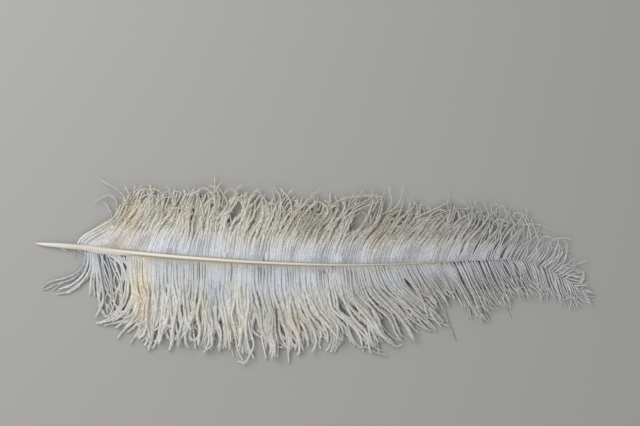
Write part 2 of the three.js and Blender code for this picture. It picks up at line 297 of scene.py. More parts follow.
leading = dict(
    side=1, seed=11, slot="leading_down", replaced="vane_leading",
    # one barb a row: x of its root, its lean there, x and y of its tip, its lean there
    barbs=[
        [45, 30, 95, 50, 68], [57, 40, 101, 53, 66], [73, 48, 107, 54, 70], [95, 60, 120, 54, 80],
        [125, 76, 141, 54, 88], [165, 84, 178, 55, 88], [205, 84, 223, 51, 72], [245, 85, 272, 48, 56],
        [285, 84, 317, 44, 48], [325, 84, 359, 43, 46], [365, 82, 401, 39, 44], [405, 78, 441, 35, 50],
        [430, 86, 458, 32, 80], [446, 86, 470, 35, 95], [460, 84, 481, 30, 98], [475, 78, 495, 24, 104],
        [486, 70, 501, 17, 104], [496, 56, 509, 4, 96], [505, 44, 522, 2, 92], [513, 36, 529, 2, 108],
        [521, 22, 543, -18, 20], [529, 14, 548, -30, -50], [540, 10, 552, -43, -10], [551, 0, 559, -51, -20]],
    # the top, middle and under layers: mm between roots, length over the top layer's, x where each stops
    pitches=(2.2, 2.5, 3.0), lengths=(1.0, 0.87, 0.76), layerEnds=(560, 530, 425),
    crowding=0.1,                   # how much closer the roots are at the feather tip
    strandWidth=2.3, tipFrom=0.45,  # mm, and the part of its length from which a strand narrows
    tipWidths=(1.65, 0.85),         # mm, of barbs near the quill and farther out
    fineFrom=(395, 480), fine=0.71,             # x over which barbs become finer, and by how much
    bandReach=21.0, bandEnds=(455, 545),        # mm, how far out barbs are knit close, and x where it stops
    bandWidth=3.6, bandFlatness=0.11,           # mm, a strand's width there, and its height over its width
    # where the under layers' wide webs stop, along a barb and in x
    webEnds=(0.7, 0.92), webStops=(400, 440),
    nap=(4.8, 17, 12), barbules=84000,
    # barbs in a lock, mm a lock stands up, mm the barbs vary in height
    lockSize=(2, 6), lift=1.6, jumble=0.5,
    strayFrom=0.6, curlFrom=(0.55, 0.85),       # the part of its length from which a barb strays and curls
    thinned=[(430, 503, 0.75), (503, 546, 0.5)],    # x from and to, and the share of the barbs left
    # x of the root, sway, turn of the tips and how much it varies, stray, waver, how far locks draw
    # together, and how much the locks swing apart
    habits=[
        (45, 0, 0, 10, 5, 0.06, 0.3, 2), (70, 0, 0, 35, 12, 0.12, 0.3, 3), (90, -2, 5, 65, 24, 0.2, 0.5, 6),
        (120, -4, 5, 70, 24, 0.22, 0.62, 6), (200, -5, 5, 66, 24, 0.22, 0.62, 6),
        (300, -6, 10, 60, 24, 0.16, 0.4, 5), (380, -6, 15, 50, 20, 0.15, 0.3, 5),
        (440, 0, 10, 70, 30, 0.3, 0.15, 8), (500, 0, 20, 75, 32, 0.32, 0.15, 9),
        (535, 0, 10, 40, 14, 0.12, 0.2, 5), (552, 0, 0, 20, 8, 0.08, 0.2, 3)],
    # x of the root, where it opens and closes along the barbs, half its width, how far it pushes
    partings=[
        (188, 0.48, 0.96, 6.5, 8), (303, 0.42, 0.98, 7.0, 8), (423, 0.05, 0.42, 1.6, 5),
        (229, -0.02, 0.11, 2.9, 5), (178, 0.4, 0.58, 2.95, 5), (163, 0.36, 0.5, 2.6, 5),
        (140, 0.6, 1.0, 1.2, 5), (255, 0.55, 1.05, 1.6, 6), (352, 0.6, 1.05, 1.8, 7),
        (392, 0.45, 0.9, 1.6, 6), (446, 0.3, 0.62, 2.0, 4), (460, 0.3, 0.7, 2.3, 5),
        (474, 0.3, 0.7, 2.7, 5), (487, 0.2, 0.6, 2.4, 4), (436, 0.12, 0.4, 1.6, 4)],
    sections=[("leadingVaneBase", 45, 215), ("leadingVaneMiddle", 215, 385), ("leadingVaneOuter", 385, 552)],
    # colours by how far out from the shaft, where 1 is 100 mm, and the most that cream adds
    # the grey first stop is painted shade in the recess beside the shaft
    colours=[(0.0, "#c6c6c6"), (0.03, "#dde0e8"), (0.08, "#dde1e9"), (0.12, "#d9dce1"), (0.2, "#dadad8"),
             (0.32, "#e2e0da"), (0.5, "#dbd8cf"), (0.8, "#cfccc5")],
    creamy=0.7,
    # barbs laid one by one: heights at root and tip, widths at root and tip, then x and y of their points
    laid=[
        [(4.6, 5.4), (3.2, 2), (43.5, -0.2), (48.5, 6.8), (59.5, 13.5), (72.5, 20.8), (80.5, 27.3),
         (85.5, 38.3)],
        [(4.8, 5.6), (3.4, 2), (46.5, 0.3), (52.5, 6.3), (63.5, 12.3), (75.5, 18.8), (83.5, 26.3),
         (88.5, 37.3)],
        [(4.9, 5.8), (3.4, 2), (50.5, 0.3), (57.5, 5.8), (68.5, 11.8), (79.5, 17.8), (87.5, 26.3),
         (92.5, 38.3)],
        [(4.2, 4.8), (3, 2.4), (43, -0.5), (47.5, 5.6), (56.5, 11.6), (68.5, 17.8), (79, 24.8)],
        [(4.4, 5.2), (3.4, 2.4), (48.5, 0), (55, 6), (66, 11.8), (77.5, 18.2), (85.5, 26.3)],
        [(5, 5.6), (1.6, 1.1), (86.5, 34.3), (93.5, 45.3), (93, 51.3), (90.5, 56.3)],
        [(5.2, 6.2), (1.5, 0.9), (90.5, 36.3), (97.5, 47.3), (102.5, 54.3), (108.5, 58.3)],
        [(5.4, 6), (1.3, 0.8), (100.5, 38.3), (103.5, 49.3), (108, 54.3), (113.5, 53.3), (119.5, 54.3),
         (128, 49.3)],
        [(5.2, 6.2), (1.7, 1.1), (129.5, 34.3), (133.5, 44.3), (134.5, 51.3), (132.5, 56.3)],
        [(5.6, 6), (1.6, 1), (120.5, 36.3), (125.5, 44.3), (133.5, 46.3), (139.5, 44.3), (141.5, 39.3)],
        [(5.2, 5.8), (1.6, 1.1), (137.5, 34.3), (143.5, 44.3), (145.5, 50.3), (140.5, 51.8)],
        [(5.2, 6.4), (1.2, 0.8), (152.5, 38.3), (158, 48.8), (154.5, 51.8), (151.5, 57.3)],
        [(5.4, 6.2), (1.2, 0.8), (146.5, 38.3), (150.5, 48.3), (156.5, 49.3), (159.5, 55.3)],
        [(5.4, 6), (1.4, 0.9), (160.5, 36.3), (162.5, 47.3), (163.5, 53.8), (168, 55.3), (173.5, 53.3)],
        [(5.5, 5), (1.5, 0.9), (169.5, 21.3), (166.5, 38.3), (163.5, 49.3), (166.5, 54.3), (172.5, 53.3),
         (176.5, 46.3)],
        [(5, 6.5), (1.3, 0.8), (178.5, 39.3), (179.5, 53.3), (179.5, 66.3)],
        [(5, 6), (1.4, 1), (177.5, 43.3), (181.5, 54.3), (186.5, 61.3)],
        [(4, 4.2), (2.6, 1.5), (106.5, 24.3), (111.5, 37.3), (116.5, 50.3)],
        [(4, 4.4), (2.6, 1.5), (116.5, 24.3), (121.5, 38.3), (123.5, 49.3)],
        [(4, 4.2), (2.6, 1.5), (123.5, 24.3), (127.5, 37.3), (130.5, 48.3)],
        [(4, 4.2), (2.6, 1.5), (130.5, 24.3), (136.5, 37.3), (137.5, 47.3)],
        [(4, 4.4), (2.6, 1.5), (141.5, 24.3), (144.5, 38.3), (149.5, 48.3)],
        [(4, 4.2), (2.6, 1.5), (150.5, 25.3), (154.5, 38.3), (154.5, 49.3)],
        [(4, 4.2), (2.6, 1.5), (161.5, 25.3), (165.5, 37.3), (170.5, 47.3)],
        [(4, 4.2), (2.6, 1.5), (172.5, 25.3), (174.5, 38.3), (172.5, 50.3)],
        [(5.5, 5.2), (1.5, 0.9), (196.5, 19.3), (193.5, 33.3), (190.5, 44.3), (183.5, 54.3), (174.5, 57.3)],
        [(4.5, 5.5), (1.4, 0.8), (186.5, 35.3), (188.5, 48.3), (193.5, 54.3), (198.5, 52.3), (201.5, 42.3)],
        [(5, 6), (1.5, 0.9), (204.5, 17.3), (207.5, 35.3), (202.5, 46.3), (200.5, 53.3), (206.5, 58.3)],
        [(5, 6.5), (1.2, 0.8), (196.5, 31.3), (201.5, 44.3), (211.5, 48.3)],
        [(5.8, 5.5), (1.9, 1.1), (207.5, 15.3), (210.5, 31.3), (214.5, 43.3), (218.5, 50.3), (223.5, 53.3)],
        [(5.2, 6.2), (1.3, 0.8), (214.5, 21.3), (222.5, 36.3), (229.5, 48.3)],
        [(5, 6.5), (1.2, 0.8), (232.5, 31.3), (229.5, 43.3), (221.5, 54.3)],
        [(5, 6), (1.4, 0.9), (240.5, 21.3), (240.5, 37.3), (236.5, 55.3)],
        [(5.4, 5.6), (1.3, 0.9), (240.5, 27.3), (245.5, 40.3), (243.5, 50.3), (238.5, 55.3)],
        [(5.2, 6.4), (1.3, 0.9), (244.5, 29.3), (246.5, 40.3), (250.5, 46.3), (257.5, 54.3)],
        [(5, 7), (1.3, 0.9), (256.5, 29.3), (255.5, 40.3), (251.5, 47.3), (245.5, 54.3)],
        [(5, 6), (1.4, 0.9), (264.5, 24.3), (270.5, 38.3), (276.5, 47.3), (282.5, 53.3)],
        [(5, 6.6), (1.3, 0.9), (276.5, 27.3), (279.5, 40.3), (275.5, 50.3)],
        [(5, 6.2), (1.4, 0.9), (286.5, 21.3), (294.5, 35.3), (304.5, 43.3), (316.5, 46.3), (332.5, 47.3),
         (347.5, 46.3)],
        [(5.2, 6), (1.5, 0.9), (301.5, 14.3), (308.5, 24.3), (317.8, 31.3), (330, 36.9), (343.5, 41.3)],
        [(5, 5.8), (1.5, 0.9), (304.5, 22.3), (311.5, 32.3), (320.5, 38.3), (331.5, 43.3)],
        [(4.8, 5.4), (1.4, 0.9), (309.5, 25.3), (318.5, 34.3), (328.5, 40.3), (337.5, 48.3)],
        [(4.6, 5), (1.3, 0.9), (314.5, 28.3), (325.5, 34.8), (336.5, 38.3), (346.5, 45.3)],
        [(4.8, 5.2), (1.3, 0.8), (312.5, 36.3), (319.5, 44.3), (328.5, 48.3), (338.5, 49.8)],
        [(4.8, 6.5), (1.4, 0.9), (332.5, 27.3), (336.5, 39.3), (336.5, 53.3)],
        [(4.8, 6), (1.3, 1), (336.5, 31.3), (341.5, 41.3), (340.5, 49.3)],
        [(4.8, 6.2), (1.4, 0.9), (349.5, 29.3), (355.5, 40.3), (353.5, 56.3)],
        [(4.6, 6.6), (1.4, 0.9), (354.5, 31.3), (363.5, 41.3), (367.5, 57.3)],
        [(4.2, 5.6), (1.5, 1.1), (379.5, 25.3), (394.5, 32.3), (405.5, 37.3), (411.5, 41.3), (412.5, 48.3)],
        [(4, 5), (1.3, 0.9), (389.5, 23.3), (408.5, 31.3), (420.5, 34.3), (432.5, 34.3)],
        [(3.8, 5.6), (1.1, 0.8), (434.5, 11.3), (439.5, 23.3), (436.5, 31.3), (426.5, 43.3)],
        [(3.6, 5.2), (1.2, 0.8), (430.5, 13.3), (435.5, 27.3), (437.5, 36.3), (440.5, 43.3)],
        [(3.6, 5.8), (1.1, 0.7), (442.5, 13.3), (452.5, 27.3), (449.5, 36.3), (446.5, 45.3)],
        [(3.4, 5), (1, 0.7), (434.5, 17.3), (442.5, 26.3), (449.5, 35.3), (461.5, 39.3)],
        [(3.2, 4.6), (1, 0.7), (450.5, 19.3), (458.5, 31.3), (466.5, 38.3), (471.5, 30.3), (477.5, 20.3)],
        [(3.2, 5), (0.9, 0.6), (454.5, 14.8), (450.2, 19.8), (444.5, 26.8), (441.5, 36.8)],
        [(3.2, 5.2), (1, 0.7), (457.5, 16.3), (463.1, 26.9), (464.5, 36.9)],
        [(3, 4.8), (1, 0.7), (470.2, 13.3), (471.5, 21.3), (470.2, 29.7), (466.5, 38.3)],
        [(2.8, 4.4), (1.1, 0.8), (480.2, 7.7), (478.5, 15.3), (475.9, 24.6)],
        [(2.8, 4.2), (1.1, 0.7), (494.5, 5.3), (493.1, 15.4), (488.8, 24), (485.9, 29.7)],
        [(2.6, 4), (1.1, 0.7), (503.1, 2.4), (500.2, 9.7), (497.4, 18.3), (494.5, 25.4)],
        [(2.8, 4.2), (0.9, 0.6), (486.5, 7.3), (488.5, 16.3), (484.5, 22.3), (478.5, 24.3)],
        [(3, 4.6), (0.9, 0.6), (464.5, 12.3), (460.5, 20.3), (455.5, 24.3), (447.5, 27.3)],
        [(3, 4), (0.9, 0.6), (472.5, 21.3), (479.5, 30.3), (487.5, 29.3), (493.5, 21.3)],
        [(3, 3.2), (0.9, 0.7), (478.5, 17.3), (492.5, 19.3), (504.5, 18.3), (512.5, 14.3)],
        [(3, 4.6), (0.8, 0.6), (486.5, 17.3), (490.5, 25.3), (490.5, 35.3)],
        [(2.6, 3.6), (0.9, 0.6), (492.5, -14.7), (500.5, -2.7), (504.5, 4.3), (510.5, 7.3), (517.5, 4.3),
         (524.5, 6.3)],
        [(2.4, 3.4), (0.9, 0.6), (502.5, -18.7), (511.5, -8.7), (513.5, 0.3), (521.5, 4.3), (530.5, 5.3),
         (535.5, 3.3)],
        [(2.6, 3), (2.2, 0.8), (505.5, -22.7), (515.5, -13.7), (520.5, -4.7), (522.5, 3.3)],
        [(2.4, 3), (2.2, 0.8), (508.5, -23.7), (519.5, -15.7), (523.5, -6.7), (522.5, 1.3)],
        [(2.2, 3.2), (1, 0.6), (516.5, -25.7), (525.5, -17.7), (530.5, -9.7), (531.5, -0.7), (527.5, 3.3)],
        [(2, 2.8), (0.9, 0.6), (522.5, -28), (529.5, -24.2), (537, -26.7), (544.5, -29.2), (548.3, -28)],
        [(2, 2.6), (1.1, 0.6), (525.5, -30.5), (535.5, -32.7), (543.3, -34.2), (547, -31.7), (548.3, -28)],
        [(1.8, 2.4), (1.2, 0.7), (529.5, -34.5), (538.3, -36.7), (544.5, -37.7), (547.5, -32.7)],
        [(1.6, 2.2), (0.9, 0.6), (537.5, -42), (545.5, -41.7), (550.5, -39.2)],
        [(2.2, 3), (1, 0.6), (524, -29), (530.1, -11.7), (529.5, -1.7)],
        [(2.2, 3.2), (1, 0.8), (520.5, -26.7), (527.5, -21.7), (538.5, -21.7), (550.5, -16.7)],
        [(2, 2.6), (1, 0.7), (522.5, -28.7), (530.5, -23.7), (540.5, -25.7), (547.5, -29.7), (547.5, -36.7),
         (541.5, -43.7)],
        [(1.8, 2.2), (1, 0.7), (526.5, -30.7), (536.5, -31.7), (544.5, -34.7), (546.5, -40.7)],
        [(1.9, 2.2), (1.1, 0.6), (526.5, -34.7), (534.5, -38.7), (541.5, -40.2), (545.5, -38.2),
         (547.5, -34.7)],
        [(1.8, 2), (1, 0.6), (529.5, -36.7), (536.5, -41.7), (541.5, -42.7), (545.5, -40.7)],
    ],
)
trailing = dict(
    # the same values for the wider vane
    side=-1, seed=23, slot="trailing_down", replaced="vane_trailing",
    barbs=[
        [61, 80, 66, -75, 98], [72, 76, 75, -83, 110], [84, 82, 83, -92, 110], [100, 88, 96, -94, 106],
        [120, 90, 115, -97, 98], [145, 90, 143, -101, 92], [175, 90, 177, -107, 80], [205, 90, 211, -111, 76],
        [235, 89, 249, -112, 68], [265, 88, 287, -110, 60], [290, 87, 320, -109, 50],
        [315, 84, 353, -105, 40], [337, 78, 385, -92, 36], [352, 72, 402, -84, 32], [360, 70, 407, -80, 32],
        [366, 68, 398, -72, 36], [370, 66, 393, -69, 42], [376, 66, 402, -66, 46], [386, 64, 411, -61, 50],
        [394, 62, 415, -54, 54], [397, 62, 414, -50, 56], [401, 62, 421, -56, 56], [406, 62, 437, -72, 56],
        [412, 62, 445, -80, 56], [422, 62, 452, -76, 54], [430, 62, 455, -66, 52], [440, 62, 464, -65, 52],
        [465, 62, 489, -54, 52], [490, 66, 506, -53, 62], [513, 68, 524, -58, 66], [525, 64, 537, -62, 60],
        [535, 58, 546, -63, 52], [545, 50, 554, -60, 44], [552, 44, 558.5, -57, 38]],
    pitches=(2.5, 2.8, 3.1), lengths=(1.0, 0.95, 0.85), layerEnds=(560, 530, 440),
    crowding=0.2,
    strandWidth=3.0, tipFrom=0.8,
    tipWidths=(2.2, 1.8),
    fineFrom=(255, 500), fine=0.7,
    bandReach=19.0, bandEnds=(340, 420),
    bandWidth=3.8, bandFlatness=0.12,
    webEnds=(0.52, 0.78), webStops=(420, 455),
    nap=(4.2, 9, 7), barbules=104000,
    lockSize=(2, 5), lift=1.8, jumble=0.8,
    strayFrom=0.4, curlFrom=(0.62, 0.86),
    thinned=[(62, 92, 0.0), (440, 505, 0.92), (505, 518, 0.8), (518, 553, 0.36)],
    habits=[
        (60, 0, 15, 25, 10, 0.15, 0.2, 4), (85, 0, 45, 30, 14, 0.28, 0.2, 4),
        (110, -3, 45, 25, 10, 0.17, 0.42, 4), (140, -4, 22, 36, 12, 0.24, 0.68, 7),
        (180, -8, 5, 34, 11, 0.28, 0.72, 8), (215, -10, 5, 34, 11, 0.27, 0.62, 7),
        (250, -12, 5, 34, 11, 0.24, 0.42, 6), (300, -13, 5, 34, 10, 0.22, 0.4, 5),
        (352, -11, 0, 14, 5, 0.1, 0.4, 2.5), (395, -6, 0, 12, 5, 0.08, 0.2, 2),
        (415, -3, 0, 16, 6, 0.1, 0.25, 2.5), (450, -3, 0, 20, 9, 0.14, 0.35, 3),
        (500, 0, 5, 24, 12, 0.16, 0.15, 5), (520, 0, 0, 20, 14, 0.12, 0.0, 6),
        (560, 0, 0, 18, 14, 0.12, 0.0, 6)],
    partings=[
        (296, 0.34, 0.9, 6.5, 8), (293, 0.01, 0.12, 1.2, 4), (320, 0.54, 0.98, 4.8, 8),
        (364, 0.18, 0.62, 3.4, 8), (464, 0.08, 0.6, 1.8, 5), (476, 0.1, 0.5, 1.5, 4),
        (486, 0.25, 0.7, 1.6, 4), (86, 0.1, 0.75, 2.4, 6), (204, 0.45, 0.9, 1.4, 6), (166, 0.6, 1.05, 1.4, 6),
        (240, 0.62, 1.05, 1.8, 7), (268, 0.6, 1.05, 1.6, 6), (404, 0.5, 1.05, 1.6, 5)],
    sections=[("trailingVaneBase", 58, 175), ("trailingVaneInner", 175, 290),
              ("trailingVaneMiddle", 290, 405), ("trailingVaneOuter", 405, 552)],
    # the dark grey-tan first stops, lightening over the first 20 mm, are painted shadow of the shaft on this
    # vane
    colours=[(0.0, "#9d988c"), (0.03, "#b3b2ad"), (0.06, "#bfc2c6"), (0.12, "#cacfd6"), (0.2, "#d2d5da"),
             (0.32, "#dfe0df"), (0.5, "#e4e3df"), (0.9, "#dcdbd9")],
    creamy=0.14,
    laid=[
        [(3.4, 2.6), (0.8, 0.6), (42.5, -7), (46.5, -8.6), (51.5, -10.6), (55.5, -15.5)],
        [(4.2, 1.6), (2.4, 1.7), (55.5, -8.7), (55.5, -22.7), (50.5, -33.7), (41.5, -43.7), (31.5, -49.7)],
        [(4.4, 1.8), (2.4, 1.6), (53.5, -8.5), (52.5, -20.7), (47.5, -31.7), (37.5, -40.7), (24.5, -45.7)],
        [(4, 1.4), (2.9, 1.7), (57.5, -9), (58, -24.7), (55.5, -38.7), (54.5, -50.7)],
        [(4.2, 1.6), (2.6, 1.6), (59.5, -9.2), (59.5, -26.7), (58.5, -40.7), (59.5, -52.7)],
        [(4.6, 3), (2.3, 1.2), (72.5, -10.5), (82.5, -17.7), (90.5, -28.7), (93.5, -44.7), (88.5, -61.7),
         (77.5, -75.7), (62.5, -79.7)],
        [(4, 2.6), (2.2, 1.2), (70.5, -10.3), (79.5, -20.7), (85.5, -36.7), (86.5, -53.7), (82.5, -65.7),
         (70.5, -73.7)],
        [(4.6, 2.2), (2.2, 1.2), (64.5, -9.8), (72.5, -24.7), (76.5, -41.7), (79.5, -59.7), (86.5, -72.7)],
        [(3.8, 1.6), (2.6, 1.5), (60.5, -9.3), (61.5, -26.7), (62.5, -44.7), (64.5, -59.7), (68.5, -69.7),
         (74.5, -75.7)],
        [(4, 2.4), (2.2, 1.3), (63.5, -9.7), (66.5, -30.7), (72.5, -48.7), (81.5, -62.7), (86.5, -68.7)],
        [(4, 2.2), (2.1, 1.3), (77.5, -10.9), (86.5, -24.7), (84.5, -40.7), (76.5, -54.7), (72.5, -64.7)],
        [(4.2, 1.8), (2.1, 1.1), (63.1, -9.7), (62.4, -25.8), (63.1, -37.3), (65.2, -45.8), (63.8, -57.3),
         (64.5, -65.8), (70.2, -73)],
        [(4.4, 2), (2, 1.1), (68.1, -10.1), (66.6, -23), (69.5, -34.4), (73.1, -45.8), (70.2, -55.8),
         (72.4, -68.7)],
        [(4.8, 3), (2, 1.1), (73.1, -10.5), (78.1, -25.8), (83.8, -37.3), (85.2, -48.7), (86.6, -58.7),
         (83.1, -68.7), (68.8, -77.3)],
        [(4, 1.8), (1.8, 1.2), (77.4, -10.9), (81.6, -24.4), (78.8, -35.8), (81.6, -45.8), (87.4, -57.3)],
        [(4.8, 2.6), (2.1, 1.2), (81.6, -11.2), (88.1, -25.8), (86.6, -37.3), (81.6, -50.1), (77.4, -65.8),
         (73.1, -73)],
        [(3.8, 1.6), (1.8, 1.1), (70.2, -10.3), (75.9, -30.1), (77.4, -41.6), (83.8, -50.1), (84.5, -61.6)],
        [(4.6, 2.2), (2, 1.1), (65.2, -9.9), (70.2, -28.7), (74.5, -40.1), (75.9, -51.6), (75.9, -60.1),
         (80.2, -71.6)],
        [(5, 2.8), (2.2, 1.2), (84.5, -11.5), (89.5, -27.3), (90.9, -38.7), (88.8, -51.6), (85.2, -64.4),
         (75.9, -73), (65.9, -80.1)],
        [(3.6, 1.6), (1.7, 1.1), (67.4, -10.1), (69.4, -30.4), (68.8, -54.4), (73.1, -63), (77.4, -70.1)],
        [(4.6, 2), (2.1, 1.3), (88.5, -11.8), (93.5, -29.3), (91.9, -46.7), (86.8, -58.6), (80.2, -69.4)],
        [(5, 3.6), (2.6, 1.6), (80.5, -11.3), (86, -16.2), (91.6, -21.5), (92.6, -31.7), (91, -42.7)],
        [(4.6, 3.2), (2.6, 1.6), (83, -11.4), (88.5, -15.6), (94, -20.7), (94.8, -32.7), (93, -50.7)],
        [(4.8, 3), (2.4, 1.4), (77.5, -11), (83, -16.7), (88, -23.7), (89, -33.7), (86, -43.7)],
        [(4.2, 2.4), (1.8, 1.2), (94.5, -56.7), (88.5, -68.7), (76.5, -74.7), (60.5, -79.7)],
        [(4.4, 2.2), (1.9, 1.4), (104.5, -62.7), (95.5, -74.7), (82.5, -78.7), (69.5, -81.7)],
        [(4.4, 2), (2, 1.7), (110.5, -68.7), (98.5, -78.7), (88.5, -86.7), (82.5, -94.7)],
        [(4.2, 1.8), (1.9, 1.4), (114.5, -74.7), (105.5, -84.7), (99.5, -92.7), (95.5, -99.7)],
        [(3.6, 2.2), (1.2, 0.9), (107.5, -78.7), (111.5, -91.7), (116.5, -103.7)],
        [(4.6, 1.9), (2, 1.6), (132.5, -74.7), (122.5, -84.7), (112.5, -90.7), (106.5, -97.7)],
        [(4.2, 1.8), (1.9, 1.5), (136.5, -78.7), (128.5, -89.7), (120.5, -96.7), (114.5, -98.7)],
        [(4.4, 2), (2, 1.3), (130.5, -74.7), (131.5, -88.7), (137.5, -102.7)],
        [(4, 1.8), (2.1, 1.5), (138.5, -72.7), (138.5, -88.7), (137.5, -101.7)],
        [(4.4, 1.8), (2.2, 1.5), (156.5, -74.7), (158.5, -90.7), (160.5, -104.7)],
        [(4.8, 2.4), (2.2, 1.4), (164.5, -76.7), (167.5, -90.7), (171, -105.4)],
        [(4.4, 2), (2.1, 1.4), (176.5, -74.7), (174.5, -90.7), (175.5, -107.2)],
        [(4.8, 2.8), (1.8, 1.1), (196.5, -74.7), (199.5, -90.7), (202.5, -106.7), (207.5, -116.7)],
        [(5, 3.6), (1.8, 1.3), (212.5, -72.7), (214.5, -86.7), (218.5, -99.7), (214.5, -110.7),
         (209.5, -118.7), (203.5, -117.7)],
        [(4.2, 2.8), (1.5, 1.1), (204.5, -78.7), (210.5, -92.7), (213.5, -102.7), (211.5, -108.7)],
        [(4.6, 1.8), (2, 1.6), (226.5, -78.7), (226.5, -94.7), (229.5, -108.7), (230.5, -114.7)],
        [(4.4, 1.8), (2.3, 1.7), (248.5, -78.7), (251.5, -96.7), (253.5, -118.7)],
        [(4.8, 2.4), (2.1, 1.2), (309.5, -74.7), (315.5, -91.7), (322.5, -102.7), (331.5, -103.7),
         (339.5, -108.7), (351.5, -111.7)],
        [(4.2, 2.4), (1.5, 1.1), (330.5, -74.7), (337.5, -90.7), (341.5, -98.7), (343.5, -108.7)],
        [(4, 2), (2, 1.4), (316.5, -78.7), (326.5, -94.7), (334.5, -101.7), (344.5, -106.7)],
        [(4.6, 2.6), (2.2, 1.4), (326.5, -64.7), (336.5, -82.7), (348.5, -94.7), (359.5, -102.7),
         (366.5, -100.7)],
        [(4.2, 1.8), (2.1, 1.2), (344.5, -62.7), (355.5, -75.7), (363.5, -88.7), (375.5, -98.7)],
        [(3.8, 1.8), (1.9, 1.3), (364.5, -68.7), (376.5, -76.7), (388.5, -84.7), (394.5, -86.7)],
        [(4, 1.8), (1.8, 1.1), (372.5, -62.7), (388.5, -71.7), (402.5, -78.7), (412.5, -82.7)],
        [(3.6, 1.8), (1.7, 1.1), (362.5, -60.7), (379.5, -68.7), (394.5, -74.7), (408.5, -76.7)],
        [(3, 1.6), (1.6, 1.1), (424.5, -40.7), (434.5, -56.7), (442.5, -68.7), (445.5, -77.7)],
        [(3.2, 1.6), (1.5, 1), (428.5, -40.7), (440.5, -56.7), (448.5, -66.7), (453.5, -76.7)],
        [(2.8, 1.4), (1.4, 0.9), (452.5, -36.7), (462.5, -52.7), (470.5, -65.7), (474.5, -73.7)],
        [(2.8, 1.6), (1.3, 0.9), (464.5, -26.7), (476.5, -39.7), (488.5, -44.7), (494.5, -47.7)],
        [(2.6, 1.6), (1.3, 0.9), (462.5, -22.7), (472.5, -33.7), (483.5, -40.7), (495.5, -43.7)],
        [(4.4, 2.2), (2, 1.3), (338.5, -64.7), (345.5, -80.7), (354.5, -91.7), (362.5, -96.7)],
        [(3.2, 1.6), (1.3, 0.9), (444, -16.6), (447.5, -27.7), (452.5, -40.7), (459.5, -53.7)],
        [(3, 1.4), (1.3, 0.9), (446.5, -16.5), (450, -28.7), (455.5, -41.7), (462.5, -54.7)],
        [(3.2, 1.6), (1.3, 0.9), (450.5, -16.3), (454.5, -28.7), (460, -40.7), (467.5, -52.7)],
        [(3, 1.4), (1.3, 0.9), (453.5, -16.2), (458, -29.7), (464, -42.7), (471.5, -54.7)],
        [(2, 1), (1, 0.6), (523, -33.7), (524.5, -46.7), (528.5, -56.7), (530.5, -63.7)],
        [(2, 0.9), (1, 0.6), (524.5, -34.7), (527.5, -45.7), (530.5, -55.7), (533.5, -63.2), (534, -68.2)],
        [(1.8, 0.9), (1, 0.6), (525.5, -35.7), (529.5, -48.7), (533.5, -58.7), (537.5, -65.2)],
        [(2, 0.9), (1.1, 0.6), (526.5, -35.7), (531.6, -47.7), (534.1, -55), (537.5, -61), (540.1, -66.9)],
        [(1.9, 0.9), (1.1, 0.6), (528.5, -37), (534, -47.9), (539.3, -55), (543.1, -58.8), (547.4, -61.8)],
        [(1.8, 0.9), (1, 0.6), (530, -38), (535.5, -49.7), (540.5, -57.2), (545, -62.2)],
        [(1.8, 0.9), (1.1, 0.7), (531, -38), (537.4, -48.7), (544.4, -55), (550.3, -58.4), (556.8, -61)],
        [(1.7, 0.9), (1.1, 0.7), (532.5, -39), (539.5, -49.2), (547.5, -54.2), (555.5, -57.2)],
        [(1.7, 0.9), (1.1, 0.7), (534, -39.7), (540.8, -47.9), (547.8, -51.7), (553.8, -53.3), (559, -53.5)],
        [(1.6, 1.2), (1, 0.6), (536, -41), (541.4, -46.5), (546.6, -49), (552.1, -49.4), (556.3, -47.3)],
        [(1.5, 1.4), (0.9, 0.6), (538, -42), (543, -47), (549.5, -49.3), (554.6, -45.5)],
        [(1.6, 1.8), (0.8, 0.5), (539, -42.7), (543.5, -45.7), (547.5, -43.7), (552.1, -38.8)],
    ],
)


def rootsAlong(first, last, pitch, crowding, rng):
    # one root every pitch, closer towards the feather tip, each a little out of place
    roots = [first]
    while roots[-1] < last:
        roots.append(roots[-1] + pitch * (1 - crowding * float(smoothStep(400, 530, roots[-1]))))
    roots = np.array(roots[:-1])
    return roots + rng.normal(0, pitch * 0.2, len(roots))


def lockNumbers(count, sizes, rng):
    # neighbouring barbs are gathered in locks of a few
    ends = np.cumsum(rng.integers(sizes[0], sizes[1] + 1, count))
    return np.searchsorted(ends, np.arange(count), side="right")


